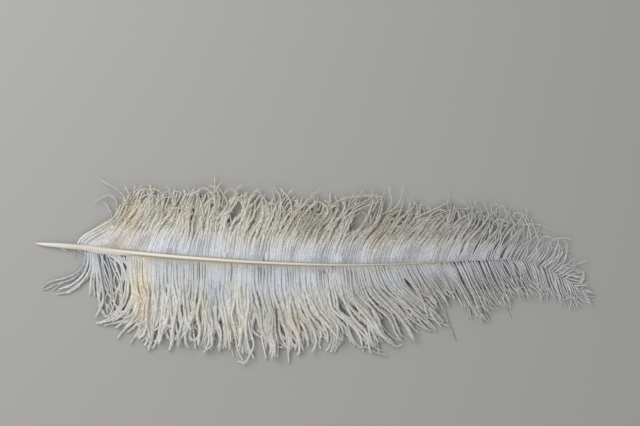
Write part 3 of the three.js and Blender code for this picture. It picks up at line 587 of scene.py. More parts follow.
def barbPaths(vane, roots, layer, rng):
    # a barb follows a cubic Bezier from the shaft to its tip. Its heading takes on the swing of its lock,
    # smooth waves and the curl of its tip, and the headings are added up into a path again
    look = vaneLook
    count, steps, side = len(roots), look["samples"], vane["side"]
    table = np.array(vane["barbs"])
    lean0, tipX, tipY, lean1 = (np.interp(roots, table[:, 0], table[:, k]) for k in range(1, 5))
    centre, square, width = shaftAt(roots)
    # near the feather tip the roots lie over the shaft and hide it
    over = smoothStep(*look["overShaft"], roots)
    root = centre[:, :2] + side * square * (width * (0.4 - 0.9 * over))[:, None]
    tip = np.stack([tipX, tipY], -1)
    pull = np.linalg.norm(tip - root, axis=1)[:, None] / 3
    leaning = [np.stack([np.cos(np.radians(a)), side * np.sin(np.radians(a))], -1) for a in (lean0, lean1)]
    p0, p1, p2, p3 = (p[:, None] for p in (root, root + leaning[0] * pull, tip - leaning[1] * pull, tip))
    u = np.linspace(0, 1, steps)
    t = u[None, :, None]
    slope = 3 * ((p1 - p0) * (1 - t)**2 + 2 * (p2 - p1) * t * (1 - t) + (p3 - p2) * t**2)
    heading = np.arctan2(slope[..., 1] * side, slope[..., 0])

    lock = lockNumbers(count, vane["lockSize"], rng)
    locks = lock.max() + 1
    habits = np.array(vane["habits"])
    sway, turn, turnSpread, strays, waver, clump, swings = (np.interp(roots, habits[:, 0], habits[:, k])
                                                            for k in range(1, 8))
    swing = np.radians(swings * (rng.normal(0, 1, locks)[lock] + rng.normal(0, 0.8, count)))
    curl = np.radians(turn * rng.uniform(0.5, 1.3, count)
                      + turnSpread * (rng.normal(0, 0.6, locks)[lock] + rng.normal(0, 0.7, count)))
    wild = rng.uniform(0, 1, count) < look["wildShare"]
    curl = np.where(wild, curl + np.radians(rng.normal(0, look["wildTurn"], count)), curl)
    # barbs beside a wide parting keep out of it, and those of the under layers end before it
    calm, cut = np.ones(count), np.ones(count)
    for place, _, _, half, _ in vane["partings"]:
        wide = smoothStep(*look["wideParting"], half)
        calm *= 1 - wide * np.exp(-((roots - place) / look["calmReach"])**2)
        near = wide * np.exp(-((roots - place) / look["cutReach"])**2)
        cut *= 1 - (0.5 * near if layer else 0)
    curl *= calm
    curlFrom = rng.uniform(*vane["curlFrom"], count)[:, None]
    stray = np.radians(strays * rng.normal(0, 1, count) * (0.2 + 0.8 * calm))[:, None]
    scale = (rng.normal(1.0, 0.03, locks)[lock] * rng.normal(1.0, 0.045, count)
             * vane["lengths"][layer] * cut)

    waves = np.zeros((count, steps))
    for turns, strength in look["waves"]:
        phase = roots * 0.03 * turns + rng.normal(0, 0.8, locks)[lock] + rng.normal(0, 0.9, count)
        waves += strength * np.sin(phase[:, None] + u * turns * 2 * np.pi)
    heading = (heading - np.radians(sway)[:, None] * np.cos(2 * np.pi * u) * smoothStep(0.05, 0.35, u)
               + swing[:, None] * smoothStep(0.15, 0.9, u)
               + stray * smoothStep(vane["strayFrom"], 1.0, u)
               + curl[:, None] * smoothStep(curlFrom, 1.05, u[None, :])
               + waves * waver[:, None] * smoothStep(0.03, 0.6, u))
    pace = np.linalg.norm(slope, axis=2) / (steps - 1) * scale[:, None]
    strides = np.stack([np.cos(heading), side * np.sin(heading)], -1) * pace[..., None]
    path = np.cumsum(np.concatenate([np.zeros((count, 1, 2)), strides[:, 1:]], 1), 1) + root[:, None]

    # barbs of one lock draw together towards their tips
    sums = np.zeros((locks, steps, 2))
    np.add.at(sums, lock, path)
    middle = (sums / np.bincount(lock)[:, None, None])[lock]
    draw = (clump * rng.uniform(0.3, 1.25, locks)[lock])[:, None] * smoothStep(0.3, 0.95, u)
    path += (middle - path) * draw[..., None]

    # partings push the barbs on either side apart, by half a sine over the part of the barbs they span
    for place, opens, closes, half, spread in vane["partings"]:
        away = roots - place
        t = np.clip((u - opens) / (closes - opens), 0, 1)
        path[..., 0] += (np.sign(away)[:, None] * half * np.exp(-np.abs(away) / spread)[:, None]
                         * np.sin(np.pi * t)**look["partingShape"])

    # heights: down from the shaft's flank to the table, with soft lumps, the lift of the lock and its
    # tips. The under layers lie flatter and lower
    lumps = (np.sin(roots * 0.09 + 1.3)[:, None] * np.sin(u * 5 + 0.6)
             + np.sin(roots * 0.21)[:, None] * np.sin(u * 9))
    lift = np.abs(rng.normal(0, 1, locks))[lock] * vane["lift"] * rng.uniform(0.3, 1.1, count)
    lifted = rng.uniform(0, 1, count) < look["liftedShare"]
    tipLift = np.where(lifted, np.abs(rng.normal(0, look["liftedTip"], count)), 0)
    shaftZ = centre[:, 2:3] + 0.8 * (width * over)[:, None]
    small = (shaftZ / 6.5).clip(0.3, 1)
    arch = (shaftZ * (1 - smoothStep(0, 0.9, u))
            + small * (look["arch"] * np.sin(np.pi * u**0.8) + look["lumps"] * lumps)
            + look["tipHeight"] * u + lift[:, None] * smoothStep(0.25, 0.8, u) * 0.6
            + tipLift[:, None] * smoothStep(0.72, 1.0, u))
    flat = (shaftZ * (1 - smoothStep(0, 0.6, u)) + look["underHeight"] + 0.5 * lumps * small
            + 0.35 * lift[:, None] * u)
    high = arch + (flat - arch) * look["flatter"][layer] - look["layerDrop"] * layer
    blend = smoothStep(0, 0.06, u)
    high = shaftZ * (1 - blend) + high * blend
    jumble = rng.normal(0, vane["jumble"], count)
    high += (-look["jumbleUnder"] * np.abs(jumble) if layer else jumble)[:, None] * smoothStep(0.15, 0.6, u)
    return np.concatenate([path, np.maximum(high, look["lowest"])[..., None]], -1)


def barbWidths(vane, paths, roots, depth):
    # width and height of a strand: thin at the shaft, wide and flat in the close-knit band, a round
    # matted strand after it, and narrow at its tip. The under layers are wide flat webs between the others
    look = vaneLook
    u = np.linspace(0, 1, paths.shape[1])[None, :]
    reach = np.cumsum(np.linalg.norm(np.diff(paths, axis=1, prepend=paths[:, :1]), axis=2), 1)
    fine = 1 - vane["fine"] * smoothStep(*vane["fineFrom"], roots)[:, None]
    band = vane["bandReach"] * (0.5 + 0.5 * fine)
    knit = ((1 - smoothStep(band * 0.7, band * 1.4, reach))
            * (1 - smoothStep(*vane["bandEnds"], roots))[:, None])
    loose = smoothStep(0, look["rootReach"], reach)
    width = look["rootWidth"] * (1 - loose) + vane["strandWidth"] * loose
    width = (width * (1 - knit) + vane["bandWidth"] * knit) * fine
    near, far = vane["tipWidths"]
    tipWidth = near + (far - near) * smoothStep(*look["tipsOver"], roots)[:, None]
    width *= 1 - (1 - tipWidth / vane["strandWidth"]) * smoothStep(vane["tipFrom"], 1.0, u)
    height = width * (look["flatness"] * (1 - knit) + vane["bandFlatness"] * knit)
    web = np.array(look["webs"])[depth][:, None] * (1 - smoothStep(*vane["webEnds"], u))
    web = web * (1 - smoothStep(*vane["webStops"], roots))[:, None]
    width *= 1 + web * look["webWider"]
    height *= 1 - web * look["webFlatter"]
    return np.stack([width, height], -1)


def laidBarbs(vane):
    # the barbs laid one by one: splines through their points, height and width running evenly to the tip.
    # The x of its first point, kept within the vane, counts as a barb's root
    u = np.linspace(0, 1, vaneLook["samples"])
    paths, widths, roots = [], [], []
    for (high0, high1), (wide0, wide1), *points in vane["laid"]:
        plan = splineThrough(points, len(u))
        paths.append(np.column_stack([plan, high0 + (high1 - high0) * u]))
        width = (wide0 + (wide1 - wide0) * u) * (0.6 + 0.4 * smoothStep(0, 0.15, u))
        widths.append(np.stack([width, width * vaneLook["flatness"]], -1))
        roots.append(np.clip(points[0][0], vane["barbs"][0][0], vane["barbs"][-1][0]))
    return np.array(paths), np.array(widths), np.array(roots)


def buildVane(vane, material):
    # the layers of a vane, cut into sections by where the barbs grow
    rng = np.random.default_rng(vane["seed"])
    first, last = vane["barbs"][0][0], vane["barbs"][-1][0]
    layers = [rootsAlong(first + 4 * k, min(last, vane["layerEnds"][k]), pitch, vane["crowding"], rng)
              for k, pitch in enumerate(vane["pitches"])]
    paths = np.concatenate([barbPaths(vane, roots, k, rng) for k, roots in enumerate(layers)])
    depth = np.repeat(np.arange(len(layers)), [len(roots) for roots in layers])
    roots = np.concatenate(layers)
    width = barbWidths(vane, paths, roots, depth)
    keep = np.ones(len(roots), bool)
    for start, stop, share in vane["thinned"]:
        keep &= (roots < start) | (roots > stop) | (rng.uniform(0, 1, len(roots)) < share)
    laid, laidWidth, laidRoots = laidBarbs(vane)
    paths = np.concatenate([paths[keep], laid])
    width = np.concatenate([width[keep], laidWidth])
    roots = np.concatenate([roots[keep], laidRoots])
    depth = np.concatenate([depth[keep], np.zeros(len(laid), int)])
    # a barb that starts away from the shaft takes its colours from there on, past the painted shade beside
    # the shaft
    starts = np.linalg.norm(paths[:, 0, :2] - shaftAt(paths[:, 0, 0])[0][:, :2], axis=1)
    least, more = vaneLook["startsAway"]
    starts = np.where(starts > least, starts + more, 0)
    # each barb's own tone, lower on the under layers: painted shade under the top layer
    tone = rng.normal(0, 1, len(roots)) - depth * 0.3
    drift = np.sin(roots * 0.31) + np.sin(roots * 0.117 + 2) + np.sin(roots * 0.83 + 1)     # of the colour
    warmth = np.clip(0.4 + 0.18 * drift + rng.normal(0, 0.22, len(roots)), 0, 1)
    width *= rng.uniform(*vaneLook["widths"], len(roots))[:, None, None]
    lengths = strandLengths(paths)
    for name, start, stop in vane["sections"]:
        mine = (roots >= start) & (roots < stop)
        amount = int(vane["barbules"] * lengths[mine].sum() / lengths.sum())
        strandPiece(name, paths[mine], width[mine], tone[mine], warmth[mine], amount, rng, material,
                    [vane["replaced"]], vane["nap"], vane["bandReach"], starts[mine])
    print(vane["slot"], "barbs", len(roots))


# ---- barbs that stand clear of the vanes: x, y, z on the centreline, width at root and tip

looseLook = dict(
    seed=5,
    waver=0.25,             # mm, how far a barb strays from its spline
    perMm=(2, 9),           # barbules on a mm of a fine barb and of the others
    fineBelow=1.0,          # mm, the width at the root of a fine barb
    nap=(4.2, 6, 4),
    slimmer=0.8, flatness=0.75,         # its core over its width, and height over width
    tone=(0.3, 0.4), warmth=0.15,       # how light and how much that varies, and how creamy
    colours=[(0.0, "#c2c4ca"), (0.3, "#cbcdd4"), (0.9, "#d8dade")], creamy=0.2,
)
looseBarbs = dict(
    curled_barb_tall=dict(
        points=[[90.7, 38.3, 6.0], [90.7, 43.3, 6.4], [87.5, 48.9, 6.4], [80.5, 54.5, 6.0], [72, 59.5, 4.8],
                [65.5, 63.9, 3.6]],
        widths=(1.9, 1.4)),
    curled_barb_hooked=dict(
        points=[[82, 32.3, 5.6], [82, 38.3, 6.0], [80.1, 44.5, 6.2], [74.5, 47.7, 6.0], [67, 46.4, 4.8],
                [59.5, 40.8, 3.0]],
        widths=(2.1, 1.4)),
    curled_barb_short=dict(
        points=[[80.5, 18.3, 6.4], [77, 27.3, 6.0], [75.1, 32.3, 5.2], [72.5, 37.3, 4.4], [70.5, 39.5, 3.6]],
        widths=(1.9, 1.6)),
    swept_barb_upper=dict(
        points=[[50.5, -8, 4.4], [49.5, -19.2, 3.8], [44.5, -26.7, 3.4], [35.5, -32.7, 3.2],
                [25.5, -36.1, 2.6], [15.5, -37.7, 2.0], [6.5, -44.7, 1.2]],
        widths=(2.6, 1.7)),
    swept_barb_middle=dict(
        points=[[52.4, -9, 3.8], [49.5, -24.2, 2.4], [40.5, -32.7, 1.8], [30.5, -37.7, 1.4],
                [19.5, -41.7, 1.2], [10.5, -45.5, 1.0], [6.9, -45.9, 1.0]],
        widths=(2.6, 1.5)),
    swept_barb_inner=dict(
        points=[[46.6, -27, 2.6], [40, -34, 2.0], [32, -37.9, 1.4], [23.3, -41.9, 1.2], [18.3, -46.7, 1.0]],
        widths=(2.1, 1.6)),
    swept_barb_lower=dict(
        points=[[55.2, -9.2, 3.8], [55.3, -22, 2.8], [53.3, -32.7, 2.2], [47, -37.7, 1.8], [38.3, -44.2, 1.6],
                [30.5, -48.7, 1.3], [22, -51.1, 1.0]],
        widths=(2.9, 1.9)),
    straight_barb=dict(
        points=[[57.2, -9.6, 3.8], [56.2, -20, 3.0], [55.9, -34, 2.2], [57, -50.5, 1.2]],
        widths=(2.6, 1.9)),
    broken_barb_stub=dict(
        points=[[39.3, -5.4, 3.2], [39.5, -10.6, 2.0], [39.3, -15.6, 0.9]],
        widths=(0.6, 0.5)),
    bent_barb_outer=dict(
        points=[[408.5, -66, 2.6], [410.5, -73.7, 2.0], [414.5, -83.7, 1.6], [420.5, -97.7, 1.0]],
        widths=(1.3, 1.0)),
)


def buildLooseBarbs(material):
    # each follows its own spline, with a nap of barbules like the vanes' strands
    look = looseLook
    rng = np.random.default_rng(look["seed"])
    for name, barb in looseBarbs.items():
        path = splineThrough(barb["points"], vaneLook["samples"])[None]
        u = np.linspace(0, 1, path.shape[1])[None, :]
        path[..., :2] += (np.stack([np.sin(u * 17 + 1), np.sin(u * 13)], -1) * look["waver"]
                          * smoothStep(0.1, 0.5, u)[..., None])
        near, far = barb["widths"]
        width = (near * (1 - u) + far * u) * (1 - 0.45 * smoothStep(0.88, 1, u)) * look["slimmer"]
        amount = int(strandLengths(path).sum() * look["perMm"][int(near >= look["fineBelow"])])
        words = name.split("_")
        strandPiece(words[0] + "".join(word.title() for word in words[1:]), path,
                    np.stack([width, width * look["flatness"]], -1), rng.normal(*look["tone"], 1),
                    np.array([look["warmth"]]), amount, rng, material, [name], look["nap"])


# ---- the shaft

shaftLook = dict(
    rings=340, sides=36,
    flatness=0.92,          # height over width
    grooveDepth=0.34,       # under the rachis, as a part of its half height
    grooveWidth=0.42,       # radians either side of its underside
    shoulder=0.42,          # how much lower the rachis's flanks are than its ridge
    ridgeWidth=0.5,         # of the ridge along its back, as a part of its width
    taper=0.25, taperOver=(250, 420),   # how much finer than its stations it grows, and over which x
    rachisFrom=(48, 95),    # x over which the round quill turns into the ridged rachis
    ledge=1.4,              # mm, a pale step along the trailing side, under the first barbs
    ledgeFrom=(48, 62), ledgeTo=(80, 104),
    # x over which the step's chalky skin comes and goes, and how far round the side it and the painted shade
    # on the flanks begin, as the cosine
    chalkFrom=(48, 60), chalkTo=(84, 106), chalkSide=(0.36, 0.52), shadedSide=(0.42, 0.72),
    seed=3,
    ragged=0.25,            # mm, how uneven the quill's open end is
    dimple=0.9,             # mm, the hollow where the quill grew from the skin
    tipPole=0.2,            # mm, the point past the last ring
    lowest=0.05,            # mm over the table
)


def buildShaft(material):
    # an oval carried along the spline. On the rachis its back is a narrow ridge between lower flanks and a
    # groove opens under it; the quill is round and ends in a small hollow
    look = shaftLook
    line = splineThrough(shaftStations, look["rings"])
    centre = line[:, :3]
    x = centre[:, 0:1]
    width = line[:, 3] * (1 - look["taper"] * smoothStep(*look["taperOver"], centre[:, 0]))
    forward = unit(np.gradient(centre, axis=0))
    sideways = unit(np.stack([-forward[:, 1], forward[:, 0], np.zeros(len(line))], -1))
    upward = np.cross(forward, sideways)
    angle = np.arange(look["sides"]) * 2 * np.pi / look["sides"]
    rachis = smoothStep(*look["rachisFrom"], x)
    away = np.abs((angle[None] - 1.5 * np.pi + np.pi) % (2 * np.pi) - np.pi)
    groove = 1 - look["grooveDepth"] * rachis * np.exp(-(away / look["grooveWidth"])**2)
    onBack = smoothStep(0.0, 0.2, np.sin(angle))[None]
    ridge = 1 - look["shoulder"] * rachis * onBack * (1 - np.exp(-(np.cos(angle) / look["ridgeWidth"])**2))
    uneven = 1 + 0.012 * np.sin(x * 0.11 + 2 * np.cos(angle)) + 0.008 * np.sin(x * 0.37 + 3 * angle)
    half = width[:, None] / 2
    stepped = smoothStep(*look["ledgeFrom"], x) * (1 - smoothStep(*look["ledgeTo"], x))
    ledge = look["ledge"] * stepped * np.clip(-np.cos(angle), 0, 1)[None]**3
    high = np.sin(angle) * groove * ridge * uneven * half * look["flatness"]
    ring = (centre[:, None] + sideways[:, None] * (np.cos(angle) * uneven * half - ledge)[..., None]
            + upward[:, None] * high[..., None])
    ragged = np.random.default_rng(look["seed"]).normal(0, look["ragged"], look["sides"])
    ring[0] += forward[0] * ragged[:, None]
    poles = np.stack([centre[0] + forward[0] * look["dimple"], centre[-1] + forward[-1] * look["tipPole"]])
    points = np.concatenate([ring.reshape(-1, 3), poles])
    points[:, 2] = np.maximum(points[:, 2], look["lowest"])
    quads, fans = tubeFaces(look["rings"], look["sides"])
    # painted shade on the flanks, which turn away from the light, and where the step is chalky
    flank = (rachis * smoothStep(*look["shadedSide"], np.abs(np.cos(angle)))[None]
             * (1 - ledge / look["ledge"]))
    step = (smoothStep(*look["chalkFrom"], x) * (1 - smoothStep(*look["chalkTo"], x))
            * smoothStep(*look["chalkSide"], -np.cos(angle))[None])
    attributes = {key: np.concatenate([values.ravel(), [0, 0]])
                  for key, values in (("flank", flank), ("step", step))}
    newPiece("shaftKeratin", points, [(quads, True), (fans, True)], attributes, None, material,
             ["shaft"])


flakeLook = dict(
    spine=[[22.5, -4.6, 1.4], [27, -5.7, 1.2], [32.6, -8.2, 0.8]],
    rows=15, columns=7,
    width=0.75,             # mm, half its width at its middle
    thickness=0.06,         # mm either side
    lowest=0.05,            # mm over the table
)


def buildFlake(material):
    # a thin curling scrap of sheath: a leaf shape on a grid, bent down, with its upper and lower faces joined
    look = flakeLook
    rows, columns = look["rows"], look["columns"]
    a, b = np.meshgrid(np.linspace(0, 1, rows), np.linspace(-1, 1, columns), indexing="ij")
    spine = splineThrough(look["spine"], rows)[:, None]
    half = (look["width"] * np.sin(np.pi * (0.12 + 0.8 * a)) + 0.15) * (1 + 0.15 * np.sin(a * 19))
    sheet = np.stack([spine[..., 0] + 0.25 * b * half, spine[..., 1] + b * half,
                      spine[..., 2] + 0.25 * b**2 - 0.2 * np.sin(a * 6)], -1)
    thick = np.array([0, 0, look["thickness"]])
    points = np.concatenate([(sheet + thick).reshape(-1, 3), (sheet - thick).reshape(-1, 3)])
    points[:, 2] = np.maximum(points[:, 2], look["lowest"])
    grid = np.arange(rows * columns).reshape(rows, columns)
    upper = np.stack([grid[:-1, :-1], grid[1:, :-1], grid[1:, 1:], grid[:-1, 1:]], -1).reshape(-1, 4)
    lower = upper[:, ::-1] + grid.size
    rim = np.concatenate([grid[:, -1], grid[-1, :-1][::-1], grid[:-1, 0][::-1], grid[0, 1:-1]])
    following = np.roll(rim, -1)
    edge = np.stack([following, rim, rim + grid.size, following + grid.size], -1)
    newPiece("sheathFlake", points, [(upper, True), (lower, True), (edge, True)], {}, None, material,
             ["sheath_flake"])


# ---- materials

def linear(hexColour):
    # an sRGB hex colour as linear red, green, blue and alpha
    parts = [int(hexColour[k:k + 2], 16) / 255 for k in (1, 3, 5)]
    return [c / 12.92 if c <= 0.04045 else ((c + 0.055) / 1.055)**2.4 for c in parts] + [1.0]


def addNode(tree, kind, settings=None, links=None):
    # a node with its settings, and its sockets set to a value or joined to another node's output
    node = tree.nodes.new(kind)
    for key, value in (settings or {}).items():
        setattr(node, key, value)
    for key, value in (links or {}).items():
        if isinstance(value, bpy.types.NodeSocket):
            tree.links.new(value, node.inputs[key])
        else:
            node.inputs[key].default_value = value
    return node


def rampStops(node, stops):
    # stops is a list of a place and a hex colour
    ramp = node.color_ramp
    while len(ramp.elements) < len(stops):
        ramp.elements.new(0.5)
    for element, (place, colour) in zip(ramp.elements, stops):
        element.position = place
        element.color = linear(colour)


def newMaterial(name, surface):
    # surface holds the values of the shader's own sockets
    material = bpy.data.materials.new(name)
    material.use_nodes = True
    tree = material.node_tree
    shader = tree.nodes["Principled BSDF"]
    for key, value in surface.items():
        shader.inputs[key].default_value = value
    return material, tree, shader


# stains on the down, and two darker grey patches of painted shade where the gaps between strands lie in
# shadow: x and y in plume millimetres, half their length and width in mm, strength, colour
downStainsAndShade = [
    (94, 24, 22, 30, 0.6, "#dccfb2"), (106, -40, 19, 42, 0.75, "#e6dac0"), (108, -66, 14, 22, 0.4, "#ddd0b0"),
    (345, 8, 24, 22, 0.75, "#c8bba0"), (352, 24, 18, 14, 0.5, "#cabd9f"), (262, 22, 30, 22, 0.45, "#d2c8ae"),
    (262, -75, 22, 26, 0.35, "#d6ccb4"), (404, 0, 26, 18, 0.45, "#cfc3a6"),
    (140, 34, 26, 20, 0.35, "#d8cdb0"), (398, -45, 12, 14, 0.55, "#d2c4a4"),
    # the grey patch at x 385 is painted shade in the gaps between the strands
    (385, -34, 42, 13, 0.6, "#a9a6a3"), (200, -85, 22, 26, 0.3, "#dcd2b8"),
    (54, 6, 18, 14, 0.55, "#dcdde6"), (88, 2, 40, 15, 0.6, "#ded3c2"), (536, -46, 26, 22, 0.75, "#cfc7b6"),
    # the grey patch at x 395 is painted shade between the strands
    (168, -58, 16, 34, 0.45, "#e0d8bf"), (74, -46, 20, 40, 0.5, "#bfbfbb"), (395, 12, 56, 13, 0.4, "#b2aea6"),
    (252, -82, 44, 22, 0.35, "#e2d6be"), (178, -46, 18, 28, 0.6, "#c9d4e2"),
    (320, -34, 34, 36, 0.45, "#adadae"),
    (274, 20, 28, 26, 0.62, "#b1aea4"), (230, -74, 28, 30, 0.45, "#b6b5ac"),
]
# patches of cream are 38 mm across, the ragged bits at the edges of the stains and the patches of painted
# shade 7 mm, and tufts of barbules 2.4 mm: so many fit in a metre
downNoises = (26.0, 140.0, 420.0)


def downMaterial(name, stops, creamy):
    # down: loose keratin fibres bleached by the sun and soiled by the bird. It looks matt and soft, white
    # with a blue cast where the barbs are knit together, cream further out and greyer along its outer half;
    # next to the shaft its colours are darker, painted shade of the shaft
    material, tree, shader = newMaterial(name, {"Roughness": 0.62, "IOR": 1.55, "Specular IOR Level": 0.3,
                                                "Sheen Weight": 0.15, "Sheen Roughness": 0.5})
    reach, along, tone, warmth = (addNode(tree, "ShaderNodeAttribute", {"attribute_name": key}).outputs["Fac"]
                                  for key in ("reach", "along", "tone", "warmth"))
    place = addNode(tree, "ShaderNodeTexCoord").outputs["Object"]
    x = addNode(tree, "ShaderNodeSeparateXYZ", links={0: place}).outputs["X"]
    patches, ragged, tufts = (addNode(tree, "ShaderNodeTexNoise", links={"Vector": place, "Scale": scale,
                                                                         "Detail": 2.0}).outputs["Fac"]
                              for scale in downNoises)
    # a hundred millimetres of reach run from 0 to 1 on the ramp, whose first stops are painted shade beside
    # the shaft
    far = addNode(tree, "ShaderNodeMath", {"operation": "MULTIPLY"}, {0: reach, 1: 0.01}).outputs[0]
    ramp = addNode(tree, "ShaderNodeValToRGB", links={"Fac": far})
    rampStops(ramp, stops)

    # each strength follows one value: it has its first amount up to the first place, and its second from
    # the second place on
    strengths = []
    for value, start, stop, least, most in (
            (far, 0.1, 0.45, 0.1, creamy),          # cream, more further out
            (patches, 0.45, 0.7, 0.0, 0.3),         # soft patches of cream
            (x, -0.06, 0.17, 0.0, 0.62),            # the plume is greyer along its outer half
            (far, 0.08, 0.25, 0.0, 1.0),            # that grey is warmer further from the shaft
            (x, 0.165, 0.245, 0.0, 0.75),           # its fine end is bleached
            (along, 0.8, 1.0, 0.0, 0.35),           # the last fifth of each barb is worn pale
            (tone, -2.0, 2.0, 0.88, 1.06),          # every strand and barbule has its own shade, and the under layers get painted shade
            (tufts, 0.3, 0.7, 0.9, 1.06)):          # and so has every tuft of barbules
        strengths.append(addNode(tree, "ShaderNodeMapRange", {}, {
            "Value": value, "From Min": start, "From Max": stop, "To Min": least, "To Max": most}
        ).outputs["Result"])
    cream, patchy, greyed, outer, bleached, worn, shade, fleck = strengths
    cream = addNode(tree, "ShaderNodeMath", {"operation": "MULTIPLY"}, {0: warmth, 1: cream}).outputs[0]
    grey = addNode(tree, "ShaderNodeMix", {"data_type": "RGBA"},
                   {0: outer, 6: linear("#c4c5ca"), 7: linear("#b5b4b3")}).outputs[2]

    tints = [(cream, linear("#dad6bf")), (patchy, linear("#dcd5c0"))]
    for markX, markY, halfX, halfY, strength, markColour in downStainsAndShade:
        # an ellipse: the place is moved and squeezed so that the edge of each stain and each patch of painted
        # shade lies one unit from its middle
        scale = np.array([1 / halfX, 1 / halfY, 0]) / mm
        shift = -(np.array([markX, markY, 0]) + quillTip) * mm * scale
        squeezed = addNode(tree, "ShaderNodeMapping", links={
            "Vector": place, "Location": tuple(map(float, shift)), "Scale": tuple(map(float, scale))}
        ).outputs["Vector"]
        away = addNode(tree, "ShaderNodeVectorMath", {"operation": "LENGTH"}, {0: squeezed}).outputs["Value"]
        away = addNode(tree, "ShaderNodeMath", {"operation": "MULTIPLY_ADD"}, {0: ragged, 1: 0.9, 2: away})
        marked = addNode(tree, "ShaderNodeMapRange", {"interpolation_type": "SMOOTHSTEP"},
                          {"Value": away.outputs[0], "From Min": 0.5, "From Max": 1.45,
                           "To Min": strength, "To Max": 0.0}).outputs["Result"]
        tints.append((marked, linear(markColour)))
    tints += [(greyed, grey), (bleached, linear("#dfe1e4")), (worn, linear("#e2e2e2"))]

    colour = ramp.outputs["Color"]
    for much, tint in tints:
        colour = addNode(tree, "ShaderNodeMix", {"data_type": "RGBA"},
                         {0: much, 6: colour, 7: tint}).outputs[2]
    for much in (shade, fleck):
        colour = addNode(tree, "ShaderNodeMix", {"data_type": "RGBA", "blend_type": "MULTIPLY"},
                         {0: 1.0, 6: colour, 7: much}).outputs[2]
    tree.links.new(colour, shader.inputs["Base Color"])
    return material


def keratinMaterial():
    # keratin: a horn-like quill grown in one piece. It is smooth and a little glossy, cream along the
    # rachis, whiter where the bare quill is hollow, with fine streaks along it
    material, tree, shader = newMaterial("shaft keratin", {"IOR": 1.55, "Coat Weight": 0.15,
                                                           "Coat Roughness": 0.3})
    place = addNode(tree, "ShaderNodeTexCoord").outputs["Object"]
    x = addNode(tree, "ShaderNodeSeparateXYZ", links={0: place}).outputs["X"]
    along = addNode(tree, "ShaderNodeMapRange", {}, {
        "Value": x, "From Min": float(quillTip[0] * mm), "From Max": float((quillTip[0] + 559) * mm)}
    ).outputs["Result"]
    ramp = addNode(tree, "ShaderNodeValToRGB", links={"Fac": along})
    rampStops(ramp, [
        (0.0, "#cfc8b4"), (0.012, "#dddcd8"), (0.05, "#d7d6d2"), (0.07, "#cecbbc"), (0.10, "#d1cdbb"),
        (0.125, "#dbd8c0"), (0.15, "#ede4d3"), (0.22, "#f6f3e8"), (0.3, "#f2efe4"), (0.38, "#ebe6d8"),
        (0.47, "#e5e1d6"), (0.56, "#d1cec6"), (0.65, "#c0bab6"), (0.72, "#aba8a8"), (1.0, "#a5a09b")])
    # streaks 25 mm long and half a millimetre across
    stretched = addNode(tree, "ShaderNodeMapping", links={
        "Vector": place, "Scale": tuple(1 / (size * mm) for size in (25, 0.5, 0.5))})
    streaks = addNode(tree, "ShaderNodeTexNoise", links={
        "Vector": stretched.outputs["Vector"], "Scale": 1.0, "Detail": 3.0}).outputs["Fac"]
    dull = addNode(tree, "ShaderNodeMapRange", {}, {
        "Value": streaks, "From Min": 0.3, "From Max": 0.75, "To Min": 0.0, "To Max": 0.28}).outputs["Result"]
    flank, step = (addNode(tree, "ShaderNodeAttribute", {"attribute_name": key}).outputs["Fac"]
                   for key in ("flank", "step"))
    # the streaks are duller, and the flanks get painted shade in grey-tan. The step beside the first barbs is
    # chalky, with traces of skin
    colour = ramp.outputs["Color"]
    for much, tint in ((dull, "#d2c9b2"), (flank, "#a79f8e"), (step, "#d5ced3")):
        colour = addNode(tree, "ShaderNodeMix", {"data_type": "RGBA"},
                         {0: much, 6: colour, 7: linear(tint)}).outputs[2]
    rough = addNode(tree, "ShaderNodeMapRange", {}, {"Value": streaks, "To Min": 0.34, "To Max": 0.56})
    bump = addNode(tree, "ShaderNodeBump", links={"Height": streaks, "Strength": 0.25, "Distance": 0.0002})
    tree.links.new(colour, shader.inputs["Base Color"])
    tree.links.new(rough.outputs["Result"], shader.inputs["Roughness"])
    tree.links.new(bump.outputs["Normal"], shader.inputs["Normal"])
    return material


def sheathMaterial():
    # dry sheath: the papery skin left on the quill, matt and mottled about a millimetre across
    material, tree, shader = newMaterial("dry sheath", {"Roughness": 0.7, "IOR": 1.55})
    place = addNode(tree, "ShaderNodeTexCoord").outputs["Object"]
    mottle = addNode(tree, "ShaderNodeTexNoise", links={"Vector": place, "Scale": 900.0, "Detail": 3.0})
    ramp = addNode(tree, "ShaderNodeValToRGB", links={"Fac": mottle.outputs["Fac"]})
    rampStops(ramp, [(0.3, "#b5b0b6"), (0.7, "#d6d2d8")])
    tree.links.new(ramp.outputs["Color"], shader.inputs["Base Color"])
    return material


# ---- camera, lights and floor

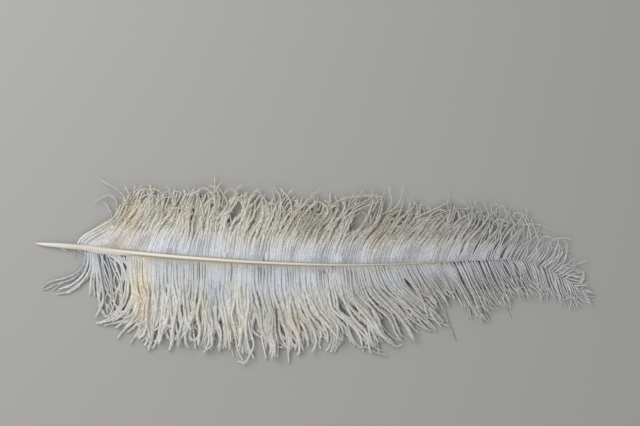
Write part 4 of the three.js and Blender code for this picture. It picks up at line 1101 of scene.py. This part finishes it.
studio = dict(
    frameWidth=0.640,           # metres of table across the picture
    aim=(0.0047, 0.0519),       # x and y of the point under the camera
    lens=90.0, sensor=36.0,
    keyEnergy=12.2, keySize=1.0, keyFrom=(-0.8, 0.75, 0.9),
    fillEnergy=7.5, fillSize=1.6, fillFrom=(-0.5, -1.0, 1.2),
    world=0.41,
    # a plain matt painted table top, and metres from its middle to its edge
    floorColour="#a8a7a3", floorHalf=4,
)


def areaLight(name, place, energy, size):
    # a square soft light that faces the plume
    light = bpy.data.lights.new(name, "AREA")
    light.energy = energy
    light.size = size
    lamp = bpy.data.objects.new(name, light)
    lamp.location = place
    lamp.rotation_euler = Vector((-place[0], -place[1], -place[2])).to_track_quat("-Z", "Y").to_euler()
    bpy.context.scene.collection.objects.link(lamp)


def buildStudio():
    # the camera looks straight down. Its distance is the width of the picture times lens over sensor
    s = studio
    camera = bpy.data.cameras.new("camera")
    camera.lens = s["lens"]
    camera.sensor_width = s["sensor"]
    camera.clip_end = 20
    eye = bpy.data.objects.new("camera", camera)
    eye.location = (s["aim"][0], s["aim"][1], s["frameWidth"] * s["lens"] / s["sensor"])
    bpy.context.scene.collection.objects.link(eye)
    bpy.context.scene.camera = eye
    areaLight("key", s["keyFrom"], s["keyEnergy"], s["keySize"])
    areaLight("fill", s["fillFrom"], s["fillEnergy"], s["fillSize"])
    world = bpy.data.worlds.new("studio")
    bpy.context.scene.world = world
    world.use_nodes = True
    world.node_tree.nodes["Background"].inputs["Color"].default_value = (1, 1, 1, 1)
    world.node_tree.nodes["Background"].inputs["Strength"].default_value = s["world"]
    bpy.context.scene.view_settings.view_transform = "Standard"
    paint, _, _ = newMaterial("plain floor", {"Base Color": linear(s["floorColour"]), "Roughness": 0.9})
    h = s["floorHalf"]
    plane = bpy.data.meshes.new("floor")
    plane.from_pydata([(-h, -h, 0), (h, -h, 0), (h, h, 0), (-h, h, 0)], [], [(0, 1, 2, 3)])
    plane.materials.append(paint)
    floor = bpy.data.objects.new("floor", plane)
    bpy.context.scene.collection.objects.link(floor)
    print("studio ready")


buildStudio()
buildShaft(keratinMaterial())
buildFlake(sheathMaterial())
buildVane(leading, downMaterial("leading down", leading["colours"], leading["creamy"]))
buildVane(trailing, downMaterial("trailing down", trailing["colours"], trailing["creamy"]))
buildLooseBarbs(downMaterial("loose down", looseLook["colours"], looseLook["creamy"]))
